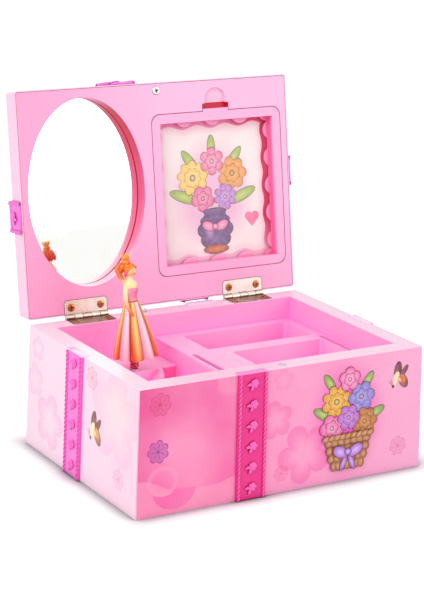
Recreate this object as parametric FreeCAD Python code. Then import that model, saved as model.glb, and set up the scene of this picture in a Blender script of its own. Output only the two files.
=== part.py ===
import FreeCAD, Part
import math
import os

# Ballerina jewellery box with a clockwork music movement. Millimetres, +Z up, +Y to the back.
# The origin is the middle of the base's underside, and the lid stands open.

# Base moulding
case_width = 200.0
case_depth = 145.0
case_height = 77.5
case_draft = 1.6
case_corner = 1.0
case_wall = 2.2
rim_width = 12.3
rim_plate = 2.5
liner_wall = 2.0
bottom_gauge = 2.5
seat_gap = 0.3
ledge_depth = 2.2
ledge_height = 2.5
ledge_length = 14.0
partition_x = -16.1
partition_wall = 1.8
corner_boss_radius = 3.4

# Screws: shank radius, head radius and length
bottom_screw = (1.3, 2.7, 12.0)
hinge_screw = (0.9, 1.9, 6.0)
movement_screw = (1.1, 2.2, 8.0)
comb_screw = (0.8, 1.6, 3.2)
screw_gap = 0.05
screw_slot = 0.7
screw_wall = 1.7

# Moulded ribbons round the base and the lid
ribbon_width = 20.0
ribbon_gauge = 1.6
ribbon_lap = 4.0
ribbon_lap_gauge = 0.5
ribbon_rise = 0.4
rear_tab_rise = 3.4
rope_radius = 1.4
rose_count = 6
rose_pitch = 12.7
rose_radius = 3.3
rose_height = 1.9
front_ribbon_shift = -24.0
side_ribbon_shift = -7.0

# Lift-out tray
tray_level = 63.0
tray_gauge = 2.0
tray_well_depth = 28.0
tray_well_corner = 2.0
tray_right_margin = 7.8
tray_rear_margin = 7.6
tray_front_margin = 6.4
tray_rear_well_left = 0.5
tray_rear_well_front = 19.3
tray_front_well_left = 11.3
tray_front_well_rear = 8.5
finger_slot_width = 3.4
finger_slot_length = 44.0
finger_slot_rear = 14.5
finger_slot_edge = 2.6
finger_slot_flat = 0.1

# Stage of the doll
deck_level = 53.0
deck_gauge = 2.0
deck_front_step = 1.5
podium_radius = 18.0
bay_floor_level = 36.0
trough_radius = 15.6
trough_wall = 1.2
trough_rear_step = 3.0
flute_radius = 0.9
flute_pitch = 3.8
flute_top_gap = 1.5
bush_radius = 3.0
bush_depth = 2.6

# Doll
doll_side_inset = 39.1
doll_rear_inset = 29.6
doll_turn = -31.0
doll_lean = 5.0
doll_lean_bearing = 149.0
hem_level = 62.6
hem_radius = 13.4
hem_flutes = 12
hem_wave = 0.7
knee_level = 79.0
knee_radius = 8.6
waist_level = 97.5
waist_radius = 3.7
bust_level = 105.5
bust_radius = 4.7
shoulder_level = 109.5
neck_level = 112.5
neck_radius = 1.6
head_level = 117.0
head_radius = 4.4
bun_level = 122.6
bun_radius = 3.2
crown_level = 127.6
arm_radius = 1.45
elbow_radius = 1.3
hand_radius = 1.1
elbow_reach = 10.6
elbow_level = 119.5
low_elbow_reach = 6.4
low_elbow_level = 100.5
low_hand_reach = 5.4
low_hand_level = 90.5
gown_hollow_radius = 10.6
gown_hollow_top = 86.0
stem_radius = 2.3
gown_lap = 1.0
hair_set_back = 1.0
hair_depth = 0.6
crown_foot = 1.8
crown_radius_top = 2.6

# Coil spring under the doll
coil_radius = 2.4
coil_wire = 0.5
coil_turns = 4.5
coil_pitch = 1.65
coil_steps = 8
coil_test_steps = 24
collar_radius = 3.1
collar_height = 1.0

# Lid
lid_thickness = 15.2
lid_wall = 2.2
lid_plate = 2.2
lid_draft = 1.0
lid_round = 1.0
lid_corner = 1.5
lid_lip = 0.7
panel_gauge = 2.4
panel_gap = 0.25
open_angle = 98.76

# Mirror in the lid
mirror_side_margin = 5.2
mirror_door_margin = 7.4
mirror_rear_margin = 16.7
mirror_front_margin = 6.5
collar_draft = 0.3
collar_depth = 3.2
bezel_draft = 0.3
mirror_depth = 9.0
mirror_gauge = 2.0
mirror_seat = 0.8
collar_wall = 1.2

# Picture frame in the lid
door_left = -3.8
door_side_margin = 5.6
door_low = 17.0
door_front_margin = 20.8
door_corner = 6.0
door_gap = 0.4
door_frame = 6.0
door_depth = 6.0
mat_gauge = 1.4
glazing_gauge = 0.8
card_gauge = 0.6
pocket_wall = 1.6
mat_lobe_radius = 7.0
mat_lobe_reach = 3.4
mat_lobes_across = 4
mat_lobes_up = 5
clip_offset = -0.7
clip_width = 19.0
clip_reach = 1.8
clip_gauge = 3.0
clip_slot = 3.4
scoop_width = 15.8
scoop_length = 9.8
scoop_depth = 3.4
scoop_backing = 6.0

# Hinges
hinge_length = 30.0
hinge_side_margin = 40.4
leaf_gauge = 1.0
leaf_gap = 0.3
leaf_corner = 2.0
base_leaf_reach = 11.4
lid_leaf_reach = 9.3
knuckle_radius = 1.75
knuckle_count = 5
knuckle_gap = 0.15
hinge_pin_radius = 0.8
pin_gap = 0.05
hinge_rise = 0.6
hinge_lid_rise = 0.4
hinge_overhang = 1.5
hinge_screw_spread = 10.5
base_screw_inset = 6.0
lid_screw_s = 4.7

# Catch
catch_x = 0.5
catch_inset = 5.3
catch_head_radius = 2.8
catch_head_height = 0.6
catch_shank_radius = 1.2
catch_shank_length = 2.0
magnet_radius = 2.5
magnet_length = 2.2
magnet_inset = 5.9

# Movement: the great wheel's axis runs along Y under the deck
drive_level = 24.0
gear_module = 0.8
crown_teeth = 30
pinion_teeth = 10
crown_face = 1.6
crown_disc = 2.0
tooth_share = 0.18
tooth_foot = 1.25
tooth_tip = 0.6
tooth_height = 0.9
tooth_root_gap = 0.2
pinion_face = 2.2
arbor_radius = 1.2
winding_radius = 2.0
housing_wall = 1.0
housing_depth = 9.6
plate_gauge = 2.4
plate_side_gap = 1.9
plate_reach = 16.0
plate_low = 5.0
plate_high = 45.0
shelf_gauge = 2.0
bearing_gap = 0.05
running_gap = 0.3
arm_width = 8.0
arm_level = 38.0
cheek_gauge = 1.6
cheek_stand = 5.0
cheek_back = 2.6
arm_front = 2.8
shelf_step = 3.0
cheek_reach = 3.4
cylinder_radius = 6.3
cylinder_length = 18.0
cylinder_stand = 2.0
pin_radius = 0.3
pin_height = 0.6
pin_rows = 18
pins_per_row = 3
pin_stagger = 0.382
spur_module = 0.6
spur_teeth = 24
spur_face = 1.5
governor_teeth = 8
nearly_parallel = 0.9
governor_bearing = 30.0
governor_shaft = 0.8
governor_size = (13.0, 9.0, 18.0)
governor_round = 2.0
comb_gauge = 1.0
comb_root = 4.0
comb_block = 3.5
comb_slit = 0.3
comb_slope = 0.12
spring_turns = 6
spring_gauge = 0.5
spring_width = 7.0
boss_radius = 3.2
boss_reach_left = 31.0
boss_reach_right = 11.0
boss_high = 40.0
boss_low = 9.0

# Winding key
key_gap = 1.8
key_hub_radius = 3.6
key_hub_length = 8.0
key_span = 13.0
key_height = 13.0
key_gauge = 1.8
key_eye = 2.6
key_hole_radius = 4.2

# Stop rod pressed by the lid
stop_partition_gap = 2.9
stop_rim_inset = 4.3
stop_radius = 1.0
stop_proud = 2.0
stop_travel = 1.6
stop_run_level = 47.6
stop_foot_reach = 26.0
stop_foot_step = 12.0
stop_bend = 2.4
stop_gap = 0.3
stop_dip = 1.2

# Sizes that follow from the ones above
top_x = case_width / 2 - case_draft
top_y = case_depth / 2 - case_draft
bay_x = top_x - rim_width
bay_y = top_y - rim_width
lid_length = 2 * top_y
hinge_spread = top_x - hinge_side_margin
door_right = top_x - door_side_margin
door_high = lid_length - door_front_margin
clip_x = (door_left + door_right) / 2 + clip_offset
mirror_half_width = (door_left - mirror_door_margin + top_x - mirror_side_margin) / 2
mirror_half_height = (lid_length - mirror_rear_margin - mirror_front_margin) / 2
mirror_x = mirror_side_margin - top_x + mirror_half_width
mirror_s = mirror_rear_margin + mirror_half_height
catch_s = lid_length - catch_inset
magnet_y = magnet_inset - top_y
doll_x = doll_side_inset - bay_x
doll_y = bay_y - doll_rear_inset
deck_front = doll_y - deck_front_step
trough_rear = doll_y - trough_rear_step
plate_left = plate_side_gap - bay_x
plate_right = doll_x + plate_reach
shelf_right = doll_x - shelf_step
stop_x = partition_x - stop_partition_gap
stop_y = top_y - stop_rim_inset
stop_foot_x = doll_x - stop_foot_reach
stop_foot_y = doll_y + stop_foot_step
movement_bosses = ((doll_x - boss_reach_left, boss_high), (doll_x + boss_reach_right, boss_high),
                   (doll_x + boss_reach_right, boss_low))
hinge_y = top_y + hinge_overhang
hinge_z = case_height + hinge_rise
face_z = hinge_z + hinge_lid_rise
pivot_level = (deck_level + collar_height + hem_level) / 2
spring_low = deck_level + bearing_gap + collar_height
spring_top = spring_low + 2 * coil_wire + coil_pitch * coil_turns
crown_radius = gear_module * crown_teeth / 2
pinion_radius = gear_module * pinion_teeth / 2
mesh_y = doll_y + pinion_radius
wheel_rear = mesh_y + gear_module + tooth_root_gap + crown_disc
housing_front = wheel_rear + running_gap
plate_front = housing_front + housing_depth
plate_rear = plate_front + plate_gauge
cylinder_right = doll_x - crown_radius - pinion_face / 2 - cylinder_stand
cylinder_left = cylinder_right - cylinder_length

X = FreeCAD.Vector(1, 0, 0)
Y = FreeCAD.Vector(0, 1, 0)
Z = FreeCAD.Vector(0, 0, 1)


def point(x, y, z):
    return FreeCAD.Vector(x, y, z)


def save(name, shape):
    shape.exportStep(os.path.join("parts", name + ".step"))
    print(name, len(shape.Solids), round(shape.Volume, 1))


def box(x0, x1, y0, y1, z0, z1):
    return Part.makeBox(x1 - x0, y1 - y0, z1 - z0, point(x0, y0, z0))


def rod(start, direction, radius, length):
    return Part.makeCylinder(radius, length, start, direction)


def prism(points, run):
    return Part.Face(Part.makePolygon(points + points[:1])).extrude(run)


def rounded_outline(x0, x1, y0, y1, radius, z):
    """A rectangle with round corners, as a wire at height z."""
    corners = ((x1 - radius, y1 - radius, 0), (x0 + radius, y1 - radius, 90),
               (x0 + radius, y0 + radius, 180), (x1 - radius, y0 + radius, 270))
    arcs = []
    for x, y, start in corners:
        arc = Part.Circle(point(x, y, z), Z, radius)
        arcs.append(Part.ArcOfCircle(arc, math.radians(start), math.radians(start + 90)).toShape())
    edges = []
    for number, arc in enumerate(arcs):
        edges.append(arc)
        following = arcs[(number + 1) % len(arcs)]
        edges.append(Part.makeLine(arc.Vertexes[-1].Point, following.Vertexes[0].Point))
    return Part.Wire(edges)


def rounded_plate(x0, x1, y0, y1, z0, z1, radius):
    outline = rounded_outline(x0, x1, y0, y1, radius, z0)
    return Part.Face(outline).extrude(Z * (z1 - z0))


def drafted_block(half_x, half_y, z0, z1, inset, radius):
    """A block whose four sides lean in by inset between z0 and z1."""
    low = rounded_outline(-half_x, half_x, -half_y, half_y, radius, z0)
    high = rounded_outline(inset - half_x, half_x - inset, inset - half_y, half_y - inset, radius, z1)
    return Part.makeLoft([low, high], True, True)


def countersunk_screw(sizes, head_at, direction):
    """A screw with a cross recess. Its head lies at head_at and its shank runs along direction."""
    shank, head, length = sizes
    depth = head - shank
    body = Part.makeCone(head, shank, depth, head_at, direction)
    body = body.fuse(rod(head_at, direction, shank, length))
    side = X if abs(direction.dot(X)) < abs(direction.dot(Y)) + abs(direction.dot(Z)) else Y
    across = direction.cross(side)
    for along, over in ((side, across), (across, side)):
        corner = head_at - along * (head - depth / 2) - over * (screw_slot / 2)
        outline = [corner, corner + along * (2 * head - depth),
                   corner + along * (2 * head - depth) + over * screw_slot, corner + over * screw_slot]
        body = body.cut(prism(outline, direction * (depth / 2)))
    return body


def screw_hole(sizes, head_at, direction):
    """The countersunk hole that the screw sits in."""
    shank, head, length = sizes
    depth = head - shank
    sink = Part.makeCone(head + screw_gap, shank + screw_gap, depth, head_at, direction)
    return sink.fuse(rod(head_at, direction, shank + screw_gap, length + screw_gap))


# Base

def outer_y(z):
    """Distance of the front and rear faces from the middle at height z."""
    return case_depth / 2 - case_draft * z / case_height


bottom_half_x = case_width / 2 - case_wall - seat_gap - case_draft * bottom_gauge / case_height
bottom_half_y = case_depth / 2 - case_wall - seat_gap - case_draft * bottom_gauge / case_height
corner_boss_x = (bottom_half_x + bay_x + liner_wall) / 2
corner_boss_y = (bottom_half_y + bay_y + liner_wall) / 2
bottom_screw_places = [(x, y) for x in (-corner_boss_x, corner_boss_x)
                       for y in (-corner_boss_y, corner_boss_y)]


def hinge_screw_places():
    return [side * hinge_spread + step for side in (-1, 1)
            for step in (-hinge_screw_spread, hinge_screw_spread)]


def ledge_blocks():
    """Short ledges on the liner that carry the tray and the stage insert."""
    tray_low = tray_level - tray_gauge
    deck_low = deck_level - deck_gauge
    floor_low = bay_floor_level - deck_gauge
    half = ledge_length / 2
    left_wall = (-bay_x, ledge_depth - bay_x)
    right_wall = (bay_x - ledge_depth, bay_x)
    divider = (partition_x - partition_wall - ledge_depth, partition_x - partition_wall)
    blocks = []
    for y in (-case_depth / 4, 0.0, case_depth / 4):
        blocks.append(box(*right_wall, y - half, y + half, tray_low - ledge_height, tray_low))
    for x in (case_width / 8, case_width / 4):
        for y0, y1 in ((-bay_y, ledge_depth - bay_y), (bay_y - ledge_depth, bay_y)):
            blocks.append(box(x - half, x + half, y0, y1, tray_low - ledge_height, tray_low))
    deck_middle = (deck_front + bay_y) / 2
    bay_middle = (deck_front - podium_radius - bay_y) / 2
    for wall in (left_wall, divider):
        blocks.append(box(*wall, deck_middle - half, deck_middle + half, deck_low - ledge_height, deck_low))
        blocks.append(box(*wall, bay_middle - half, bay_middle + half, floor_low - ledge_height, floor_low))
    blocks.append(box(doll_x - half, doll_x + half, -bay_y, ledge_depth - bay_y,
                      floor_low - ledge_height, floor_low))
    return blocks


def movement_boss_places():
    return [point(x, plate_rear, z) for x, z in movement_bosses]


def hinge_relief(margin):
    """The space that the knuckles turn in, at both hinges."""
    length = hinge_length + 2 * margin
    cuts = []
    for side in (-1, 1):
        start = point(side * hinge_spread - length / 2, hinge_y, hinge_z)
        cuts.append(rod(start, X, knuckle_radius + margin, length))
    return cuts


def case_shell():
    """Double-walled moulding, open at the bottom, with a flat rim and a partition."""
    outside = drafted_block(case_width / 2, case_depth / 2, 0, case_height, case_draft, case_corner)
    hollow = drafted_block(case_width / 2 - case_wall, case_depth / 2 - case_wall, 0,
                           case_height - rim_plate, case_draft, case_corner)
    liner_low = bottom_gauge + seat_gap
    liner = box(-bay_x - liner_wall, bay_x + liner_wall, -bay_y - liner_wall, bay_y + liner_wall,
                liner_low, case_height)
    bay = box(-bay_x, bay_x, -bay_y, bay_y, -seat_gap, case_height + seat_gap)
    divider = box(partition_x - partition_wall, partition_x, -bay_y - seat_gap, bay_y + seat_gap,
                  liner_low, tray_level - tray_gauge)
    added = [liner.cut(bay), divider] + ledge_blocks()
    for x, y in bottom_screw_places:
        foot = point(x, y, bottom_gauge)
        added.append(rod(foot, Z, corner_boss_radius, case_height - rim_plate - bottom_gauge))
    for place in movement_boss_places():
        added.append(rod(place, Y, boss_radius, bay_y + seat_gap - plate_rear))
    for x in hinge_screw_places():
        place = point(x, top_y - base_screw_inset, case_height - hinge_screw[2] - screw_wall)
        added.append(rod(place, Z, hinge_screw[0] + screw_wall, hinge_screw[2]))
    shell = outside.cut(hollow).cut(bay).multiFuse(added)
    return shell.cut(case_cuts()).removeSplitter()


def case_cuts():
    """Screw holes, hinge mortises, magnet pocket, key hole and the stop rod's way."""
    cuts = hinge_relief(leaf_gap)
    for x, y in bottom_screw_places:
        cuts.append(screw_hole(bottom_screw, point(x, y, 0), Z))
    for side in (-1, 1):
        cuts.append(hinge_mortise(side, top_y - base_leaf_reach - leaf_gap, case_height))
    for x in hinge_screw_places():
        cuts.append(screw_hole(hinge_screw, point(x, top_y - base_screw_inset, case_height), -Z))
    for place in movement_boss_places():
        cuts.append(rod(place, Y, movement_screw[0] + screw_gap, movement_screw[2]))
    magnet_at = point(catch_x, magnet_y, case_height - magnet_length)
    cuts.append(rod(magnet_at, Z, magnet_radius + screw_gap, magnet_length + seat_gap))
    arbor_at = point(doll_x, bay_y - seat_gap, drive_level)
    cuts.append(rod(arbor_at, Y, winding_radius + running_gap, liner_wall + 2 * seat_gap))
    cuts.append(rod(arbor_at + Y * (liner_wall + 2 * seat_gap), Y, key_hole_radius, rim_width + case_draft))
    stop_at = point(stop_x, stop_y, case_height - rim_plate - seat_gap)
    cuts.append(rod(stop_at, Z, stop_radius + bearing_gap, rim_plate + 2 * seat_gap))
    half = stop_radius + stop_gap
    cuts.append(box(stop_foot_x - half, stop_foot_x + half, bay_y - seat_gap, bay_y + liner_wall + seat_gap,
                    stop_run_level - stop_travel - half, stop_run_level + half))
    return cuts


def bottom_plate():
    plate = rounded_plate(-bottom_half_x, bottom_half_x, -bottom_half_y, bottom_half_y, 0, bottom_gauge,
                          case_corner)
    return plate.cut([screw_hole(bottom_screw, point(x, y, 0), Z) for x, y in bottom_screw_places])


def bottom_screws():
    return Part.makeCompound([countersunk_screw(bottom_screw, point(x, y, 0), Z)
                              for x, y in bottom_screw_places])


def catch_magnet():
    return rod(point(catch_x, magnet_y, case_height - magnet_length), Z, magnet_radius, magnet_length)


# Ribbons

def rose(at, outward):
    """A low bun for a moulded rose."""
    return Part.makeCone(rose_radius, rose_radius / 2, rose_height, at, outward)


def base_ribbon(half, shift, turn):
    """A ribbon on the front face, turned about Z to its own side of the base."""
    x0 = shift - ribbon_width / 2
    lean = point(0, case_draft, case_height)
    top = half - case_draft
    section = [point(x0, -half, ribbon_rise), point(x0, -half - ribbon_gauge, ribbon_rise),
               point(x0, -top - ribbon_gauge, case_height + ribbon_lap_gauge),
               point(x0, -top + ribbon_lap, case_height + ribbon_lap_gauge),
               point(x0, -top + ribbon_lap, case_height), point(x0, -top, case_height)]
    band = prism(section, X * ribbon_width)
    outward = point(0, -case_height, case_draft).normalize()
    foot = point(shift, -half - ribbon_gauge, ribbon_rise)
    up = FreeCAD.Vector(lean).normalize()
    added = []
    for side in (-1, 1):
        start = foot + X * side * (ribbon_width / 2 - rope_radius)
        added.append(rod(start, up, rope_radius, lean.Length))
    first = (lean.Length - rose_pitch * (rose_count - 1)) / 2
    for number in range(rose_count):
        added.append(rose(foot + up * (first + rose_pitch * number) - outward * seat_gap, outward))
    under = box(x0, x0 + ribbon_width, -half - 2 * ribbon_gauge, -top, -ribbon_gauge, ribbon_rise)
    whole = band.multiFuse(added).cut(under)
    whole.rotate(point(0, 0, 0), Z, turn)
    return whole


# Hinges

def knuckle_spans():
    step = hinge_length / knuckle_count
    return [(number * step + knuckle_gap, (number + 1) * step - knuckle_gap)
            for number in range(knuckle_count)]


def leaf_plate(x0, x1, y0, y1, z0, z1, radius):
    """A plate whose two corners away from the hinge are round."""
    plate = box(x0, x1, y0, y1, z0, z1)
    far = [edge for edge in plate.Edges if edge.BoundBox.YMax < y0 + leaf_gap]
    return plate.makeFillet(radius, [edge for edge in far if edge.BoundBox.XLength < leaf_gap])


def hinge_mortise(side, far_y, z):
    """The pocket for one leaf, with its floor a leaf's thickness from the face at z."""
    middle = side * hinge_spread
    half = hinge_length / 2 + leaf_gap
    return leaf_plate(middle - half, middle + half, far_y, hinge_y, z - leaf_gauge, z + leaf_gauge,
                      leaf_corner + leaf_gap)


def hinge_leaf(middle, low, reach_from, reach_to, first):
    """A leaf with every second knuckle. The other leaf has the knuckles between."""
    x0 = middle - hinge_length / 2
    leaf = leaf_plate(x0, x0 + hinge_length, reach_from, reach_to, low, low + leaf_gauge, leaf_corner)
    for number, (start, end) in enumerate(knuckle_spans()):
        if number % 2 == first:
            leaf = leaf.fuse(rod(point(x0 + start, hinge_y, hinge_z), X, knuckle_radius, end - start))
        else:
            gap = knuckle_radius + leaf_gap
            leaf = leaf.cut(box(x0 + start - 2 * knuckle_gap, x0 + end + 2 * knuckle_gap,
                                hinge_y - gap, hinge_y + gap, hinge_z - gap, hinge_z + gap))
    return leaf.cut(rod(point(x0, hinge_y, hinge_z), X, hinge_pin_radius + pin_gap, hinge_length))


def hinge_base_leaf(side):
    leaf = hinge_leaf(side * hinge_spread, case_height - leaf_gauge, top_y - base_leaf_reach, hinge_y, 0)
    return leaf.cut([screw_hole(hinge_screw, point(x, top_y - base_screw_inset, case_height), -Z)
                     for x in hinge_screw_places()])


def hinge_pins():
    pins = []
    for side in (-1, 1):
        start = point(side * hinge_spread - hinge_length / 2, hinge_y, hinge_z)
        pins.append(rod(start, X, hinge_pin_radius, hinge_length))
    return Part.makeCompound(pins)


def hinge_base_screws():
    y = top_y - base_screw_inset
    return Part.makeCompound([countersunk_screw(hinge_screw, point(x, y, case_height), -Z)
                              for x in hinge_screw_places()])


# Lid, drawn closed and then turned open about the hinges

def lid_y(s):
    """Y of a place that is s from the lid's rear edge, with the lid closed."""
    return top_y - s


def lid_box(x0, x1, s0, s1, d0, d1):
    return box(x0, x1, lid_y(s1), lid_y(s0), face_z + d0, face_z + d1)


def lid_plate_shape(x0, x1, s0, s1, d0, d1, radius):
    return rounded_plate(x0, x1, lid_y(s1), lid_y(s0), face_z + d0, face_z + d1, radius)


def opened(shape):
    shape.rotate(point(0, hinge_y, hinge_z), X, -open_angle)
    return shape


pocket_floor = door_depth + mat_gauge + glazing_gauge + card_gauge
window = (door_left + door_frame, door_right - door_frame, door_low + door_frame, door_high - door_frame)


def oval(half_width, half_height, depth):
    """An upright ellipse about the mirror's middle, as a wire at a depth in the lid."""
    ring = Part.Ellipse(point(0, 0, 0), half_height, half_width)
    wire = Part.Wire([ring.toShape()])
    wire.rotate(point(0, 0, 0), Z, 90)
    wire.translate(point(mirror_x, lid_y(mirror_s), face_z + depth))
    return wire


def oval_cone(inset0, depth0, inset1, depth1):
    """A solid between two ellipses, inset from the mirror opening's edge."""
    low = oval(mirror_half_width - inset0, mirror_half_height - inset0, depth0)
    high = oval(mirror_half_width - inset1, mirror_half_height - inset1, depth1)
    return Part.makeLoft([low, high], True, True)


def lid_mortises():
    cuts = hinge_relief(leaf_gap)
    for side in (-1, 1):
        cuts.append(hinge_mortise(side, lid_y(lid_leaf_reach + leaf_gap), face_z))
    for x in hinge_screw_places():
        cuts.append(screw_hole(hinge_screw, point(x, lid_y(lid_screw_s), face_z), Z))
    return cuts


def lid_outside():
    """The closed lid's outer form, with its top edge rounded."""
    block = drafted_block(top_x, top_y, 0, lid_thickness, lid_draft, lid_corner)
    edges = [edge for edge in block.Edges if edge.BoundBox.ZMin > lid_thickness - seat_gap]
    block = block.makeFillet(lid_round, edges)
    block.translate(Z * face_z)
    return block


def lid_inside(gap):
    """The space inside the lid's walls, drawn in by gap."""
    block = drafted_block(top_x - lid_wall - gap, top_y - lid_wall - gap, 0, lid_thickness - lid_plate,
                          lid_draft, lid_corner)
    block.translate(Z * face_z)
    return block


def lid_rabbet(gap):
    """The step inside the lid's mouth that takes the panel's edge, drawn in by gap."""
    lean = lid_draft * panel_gauge / lid_thickness
    block = drafted_block(top_x - lid_lip - gap, top_y - lid_lip - gap, 0, panel_gauge, lean, lid_corner)
    block.translate(Z * face_z)
    return block


def lid_shell():
    """Outer moulding of the lid, with a step inside its mouth that the panel rests on."""
    return opened(lid_outside().cut([lid_inside(0), lid_rabbet(0)] + lid_mortises()))


def scoop():
    """The thumb scoop above the picture door: an arched pocket that deepens towards the door."""
    low = door_high + clip_reach + clip_slot
    half = scoop_width / 2
    arch = lid_box(clip_x - half, clip_x + half, low, low + scoop_length - half, -seat_gap, scoop_depth)
    top = point(clip_x, lid_y(low + scoop_length - half), face_z - seat_gap)
    arch = arch.fuse(rod(top, Z, half, scoop_depth + seat_gap))
    reach = low + scoop_length
    wedge = prism([point(clip_x - clip_width, lid_y(low - seat_gap), face_z - seat_gap),
                   point(clip_x - clip_width, lid_y(low - seat_gap), face_z + scoop_depth),
                   point(clip_x - clip_width, lid_y(reach), face_z + seat_gap),
                   point(clip_x - clip_width, lid_y(reach), face_z - seat_gap)], X * 2 * clip_width)
    return arch.common(wedge)


def clip_slot_cut():
    half = clip_width / 2 + door_gap
    return lid_box(clip_x - half, clip_x + half, door_high - seat_gap, door_high + clip_reach + clip_slot,
                   -seat_gap, scoop_depth + panel_gap)


def lid_panel():
    """Inner moulding of the lid, with the mirror's collar, the picture's pocket and the thumb scoop."""
    envelope = lid_inside(panel_gap).fuse(lid_rabbet(panel_gap))
    plate = lid_box(-top_x, top_x, 0, lid_length, 0, panel_gauge)
    added = [oval_cone(-collar_wall, 0, collar_draft - collar_wall, collar_depth)]
    wall = door_gap + pocket_wall
    added.append(lid_box(door_left - wall, door_right + wall, door_low - wall, door_high + wall,
                         0, pocket_floor + pocket_wall))
    backing = clip_width / 2 + wall
    added.append(lid_box(clip_x - backing, clip_x + backing, door_high,
                         door_high + clip_reach + clip_slot + scoop_length + pocket_wall, 0, scoop_backing))
    for x in hinge_screw_places():
        added.append(rod(point(x, lid_y(lid_screw_s), face_z), Z, hinge_screw[0] + screw_wall,
                         hinge_screw[2] + screw_wall))
    added.append(rod(point(catch_x, lid_y(catch_s), face_z), Z, catch_shank_radius + screw_wall,
                     catch_shank_length + screw_wall))
    panel = plate.multiFuse(added).common(envelope)
    cuts = [oval_cone(0, 0, collar_draft, collar_depth), scoop(), clip_slot_cut()]
    cuts.append(lid_plate_shape(door_left - door_gap, door_right + door_gap, door_low - door_gap,
                                door_high + door_gap, -seat_gap, pocket_floor, door_corner))
    cuts.append(rod(point(catch_x, lid_y(catch_s), face_z - seat_gap), Z, catch_shank_radius + screw_gap,
                    catch_shank_length + seat_gap))
    return opened(panel.cut(cuts + lid_mortises()).removeSplitter())


def mirror_bezel():
    """The deeper ring of the mirror's recess. It sits against the back of the panel's collar."""
    run = collar_draft + bezel_draft
    inner = oval_cone(collar_draft, collar_depth, run, mirror_depth)
    outer = oval_cone(collar_draft - collar_wall, collar_depth, run - collar_wall - mirror_seat, mirror_depth)
    return opened(outer.cut(inner))


def mirror():
    inset = collar_draft + bezel_draft - mirror_seat
    glass = Part.Face(oval(mirror_half_width - inset, mirror_half_height - inset, mirror_depth))
    return opened(glass.extrude(Z * mirror_gauge))


def picture_door():
    """The frame that holds the picture, with the clip at its top."""
    frame = lid_plate_shape(door_left, door_right, door_low, door_high, 0, door_depth, door_corner)
    clip = lid_box(clip_x - clip_width / 2, clip_x + clip_width / 2, door_high - door_corner,
                   door_high + clip_reach, 0, clip_gauge)
    x0, x1, s0, s1 = window
    opening = lid_box(x0, x1, s0, s1, -seat_gap, door_depth + seat_gap)
    return opened(frame.fuse(clip).cut(opening).removeSplitter())


def inside_door(d0, d1):
    """A sheet that fills the door's pocket between two depths."""
    return lid_plate_shape(door_left, door_right, door_low, door_high, d0, d1, door_corner)


def picture_mat():
    """The mat behind the door, whose edge swells into round lobes."""
    x0, x1, s0, s1 = window
    d0, d1 = door_depth, door_depth + mat_gauge
    sheet = inside_door(d0, d1)
    mat = sheet.cut(lid_box(x0, x1, s0, s1, d0 - seat_gap, d1 + seat_gap))
    back = mat_lobe_radius - mat_lobe_reach
    places = []
    for number in range(mat_lobes_across + 1):
        x = x0 + (x1 - x0) * number / mat_lobes_across
        places += [(x, s0 - back), (x, s1 + back)]
    for number in range(mat_lobes_up):
        s = s0 + (s1 - s0) * (number + 0.5) / mat_lobes_up
        places += [(x0 - back, s), (x1 + back, s)]
    lobes = []
    for x, s in places:
        lobe = rod(point(x, lid_y(s), face_z + d0), Z, mat_lobe_radius, mat_gauge)
        lobes.append(lobe.common(sheet))
    return opened(mat.multiFuse(lobes).removeSplitter())


def picture_glazing():
    start = door_depth + mat_gauge
    return opened(inside_door(start, start + glazing_gauge))


def picture_card():
    return opened(inside_door(pocket_floor - card_gauge, pocket_floor))


def hinge_lid_leaf(side):
    leaf = hinge_leaf(side * hinge_spread, face_z, lid_y(lid_leaf_reach), hinge_y, 1)
    return opened(leaf.cut([screw_hole(hinge_screw, point(x, lid_y(lid_screw_s), face_z), Z)
                            for x in hinge_screw_places()]))


def hinge_lid_screws():
    return opened(Part.makeCompound([countersunk_screw(hinge_screw, point(x, lid_y(lid_screw_s), face_z), Z)
                                     for x in hinge_screw_places()]))


def catch_screw():
    """The steel screw that the magnet pulls."""
    at = point(catch_x, lid_y(catch_s), face_z)
    head = Part.makeCone(catch_head_radius, catch_head_radius - catch_head_height, catch_head_height, at, -Z)
    screw = head.fuse(rod(at, Z, catch_shank_radius, catch_shank_length))
    for half_x, half_y in ((screw_slot / 2, catch_head_radius / 2), (catch_head_radius / 2, screw_slot / 2)):
        screw = screw.cut(box(at.x - half_x, at.x + half_x, at.y - half_y, at.y + half_y,
                              at.z - 2 * catch_head_height, at.z - catch_head_height / 2))
    return opened(screw)


def lid_tab(half, shift, turn, rise):
    """The end of a lid ribbon, which comes down one edge of the lid."""
    foot = point(shift, -half - ribbon_gauge, face_z + rise)
    height = lid_thickness + ribbon_gauge - rise
    x0 = shift - ribbon_width / 2
    top = -half + lid_draft
    lap = top + ribbon_gauge + lid_round
    section = [point(x0, -half, foot.z), foot - X * ribbon_width / 2,
               point(x0, top - ribbon_gauge, foot.z + height), point(x0, lap, foot.z + height),
               point(x0, lap, face_z + lid_thickness - lid_round),
               point(x0, top, face_z + lid_thickness - lid_round)]
    tab = prism(section, X * ribbon_width)
    up = point(0, lid_draft, lid_thickness).normalize()
    added = [rose(foot + up * (height / 2) + Y * seat_gap, -Y)]
    for side in (-1, 1):
        added.append(rod(foot + X * side * (ribbon_width / 2 - rope_radius), up, rope_radius, height))
    tab = tab.multiFuse(added)
    tab.rotate(point(0, 0, 0), Z, turn)
    return tab


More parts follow.
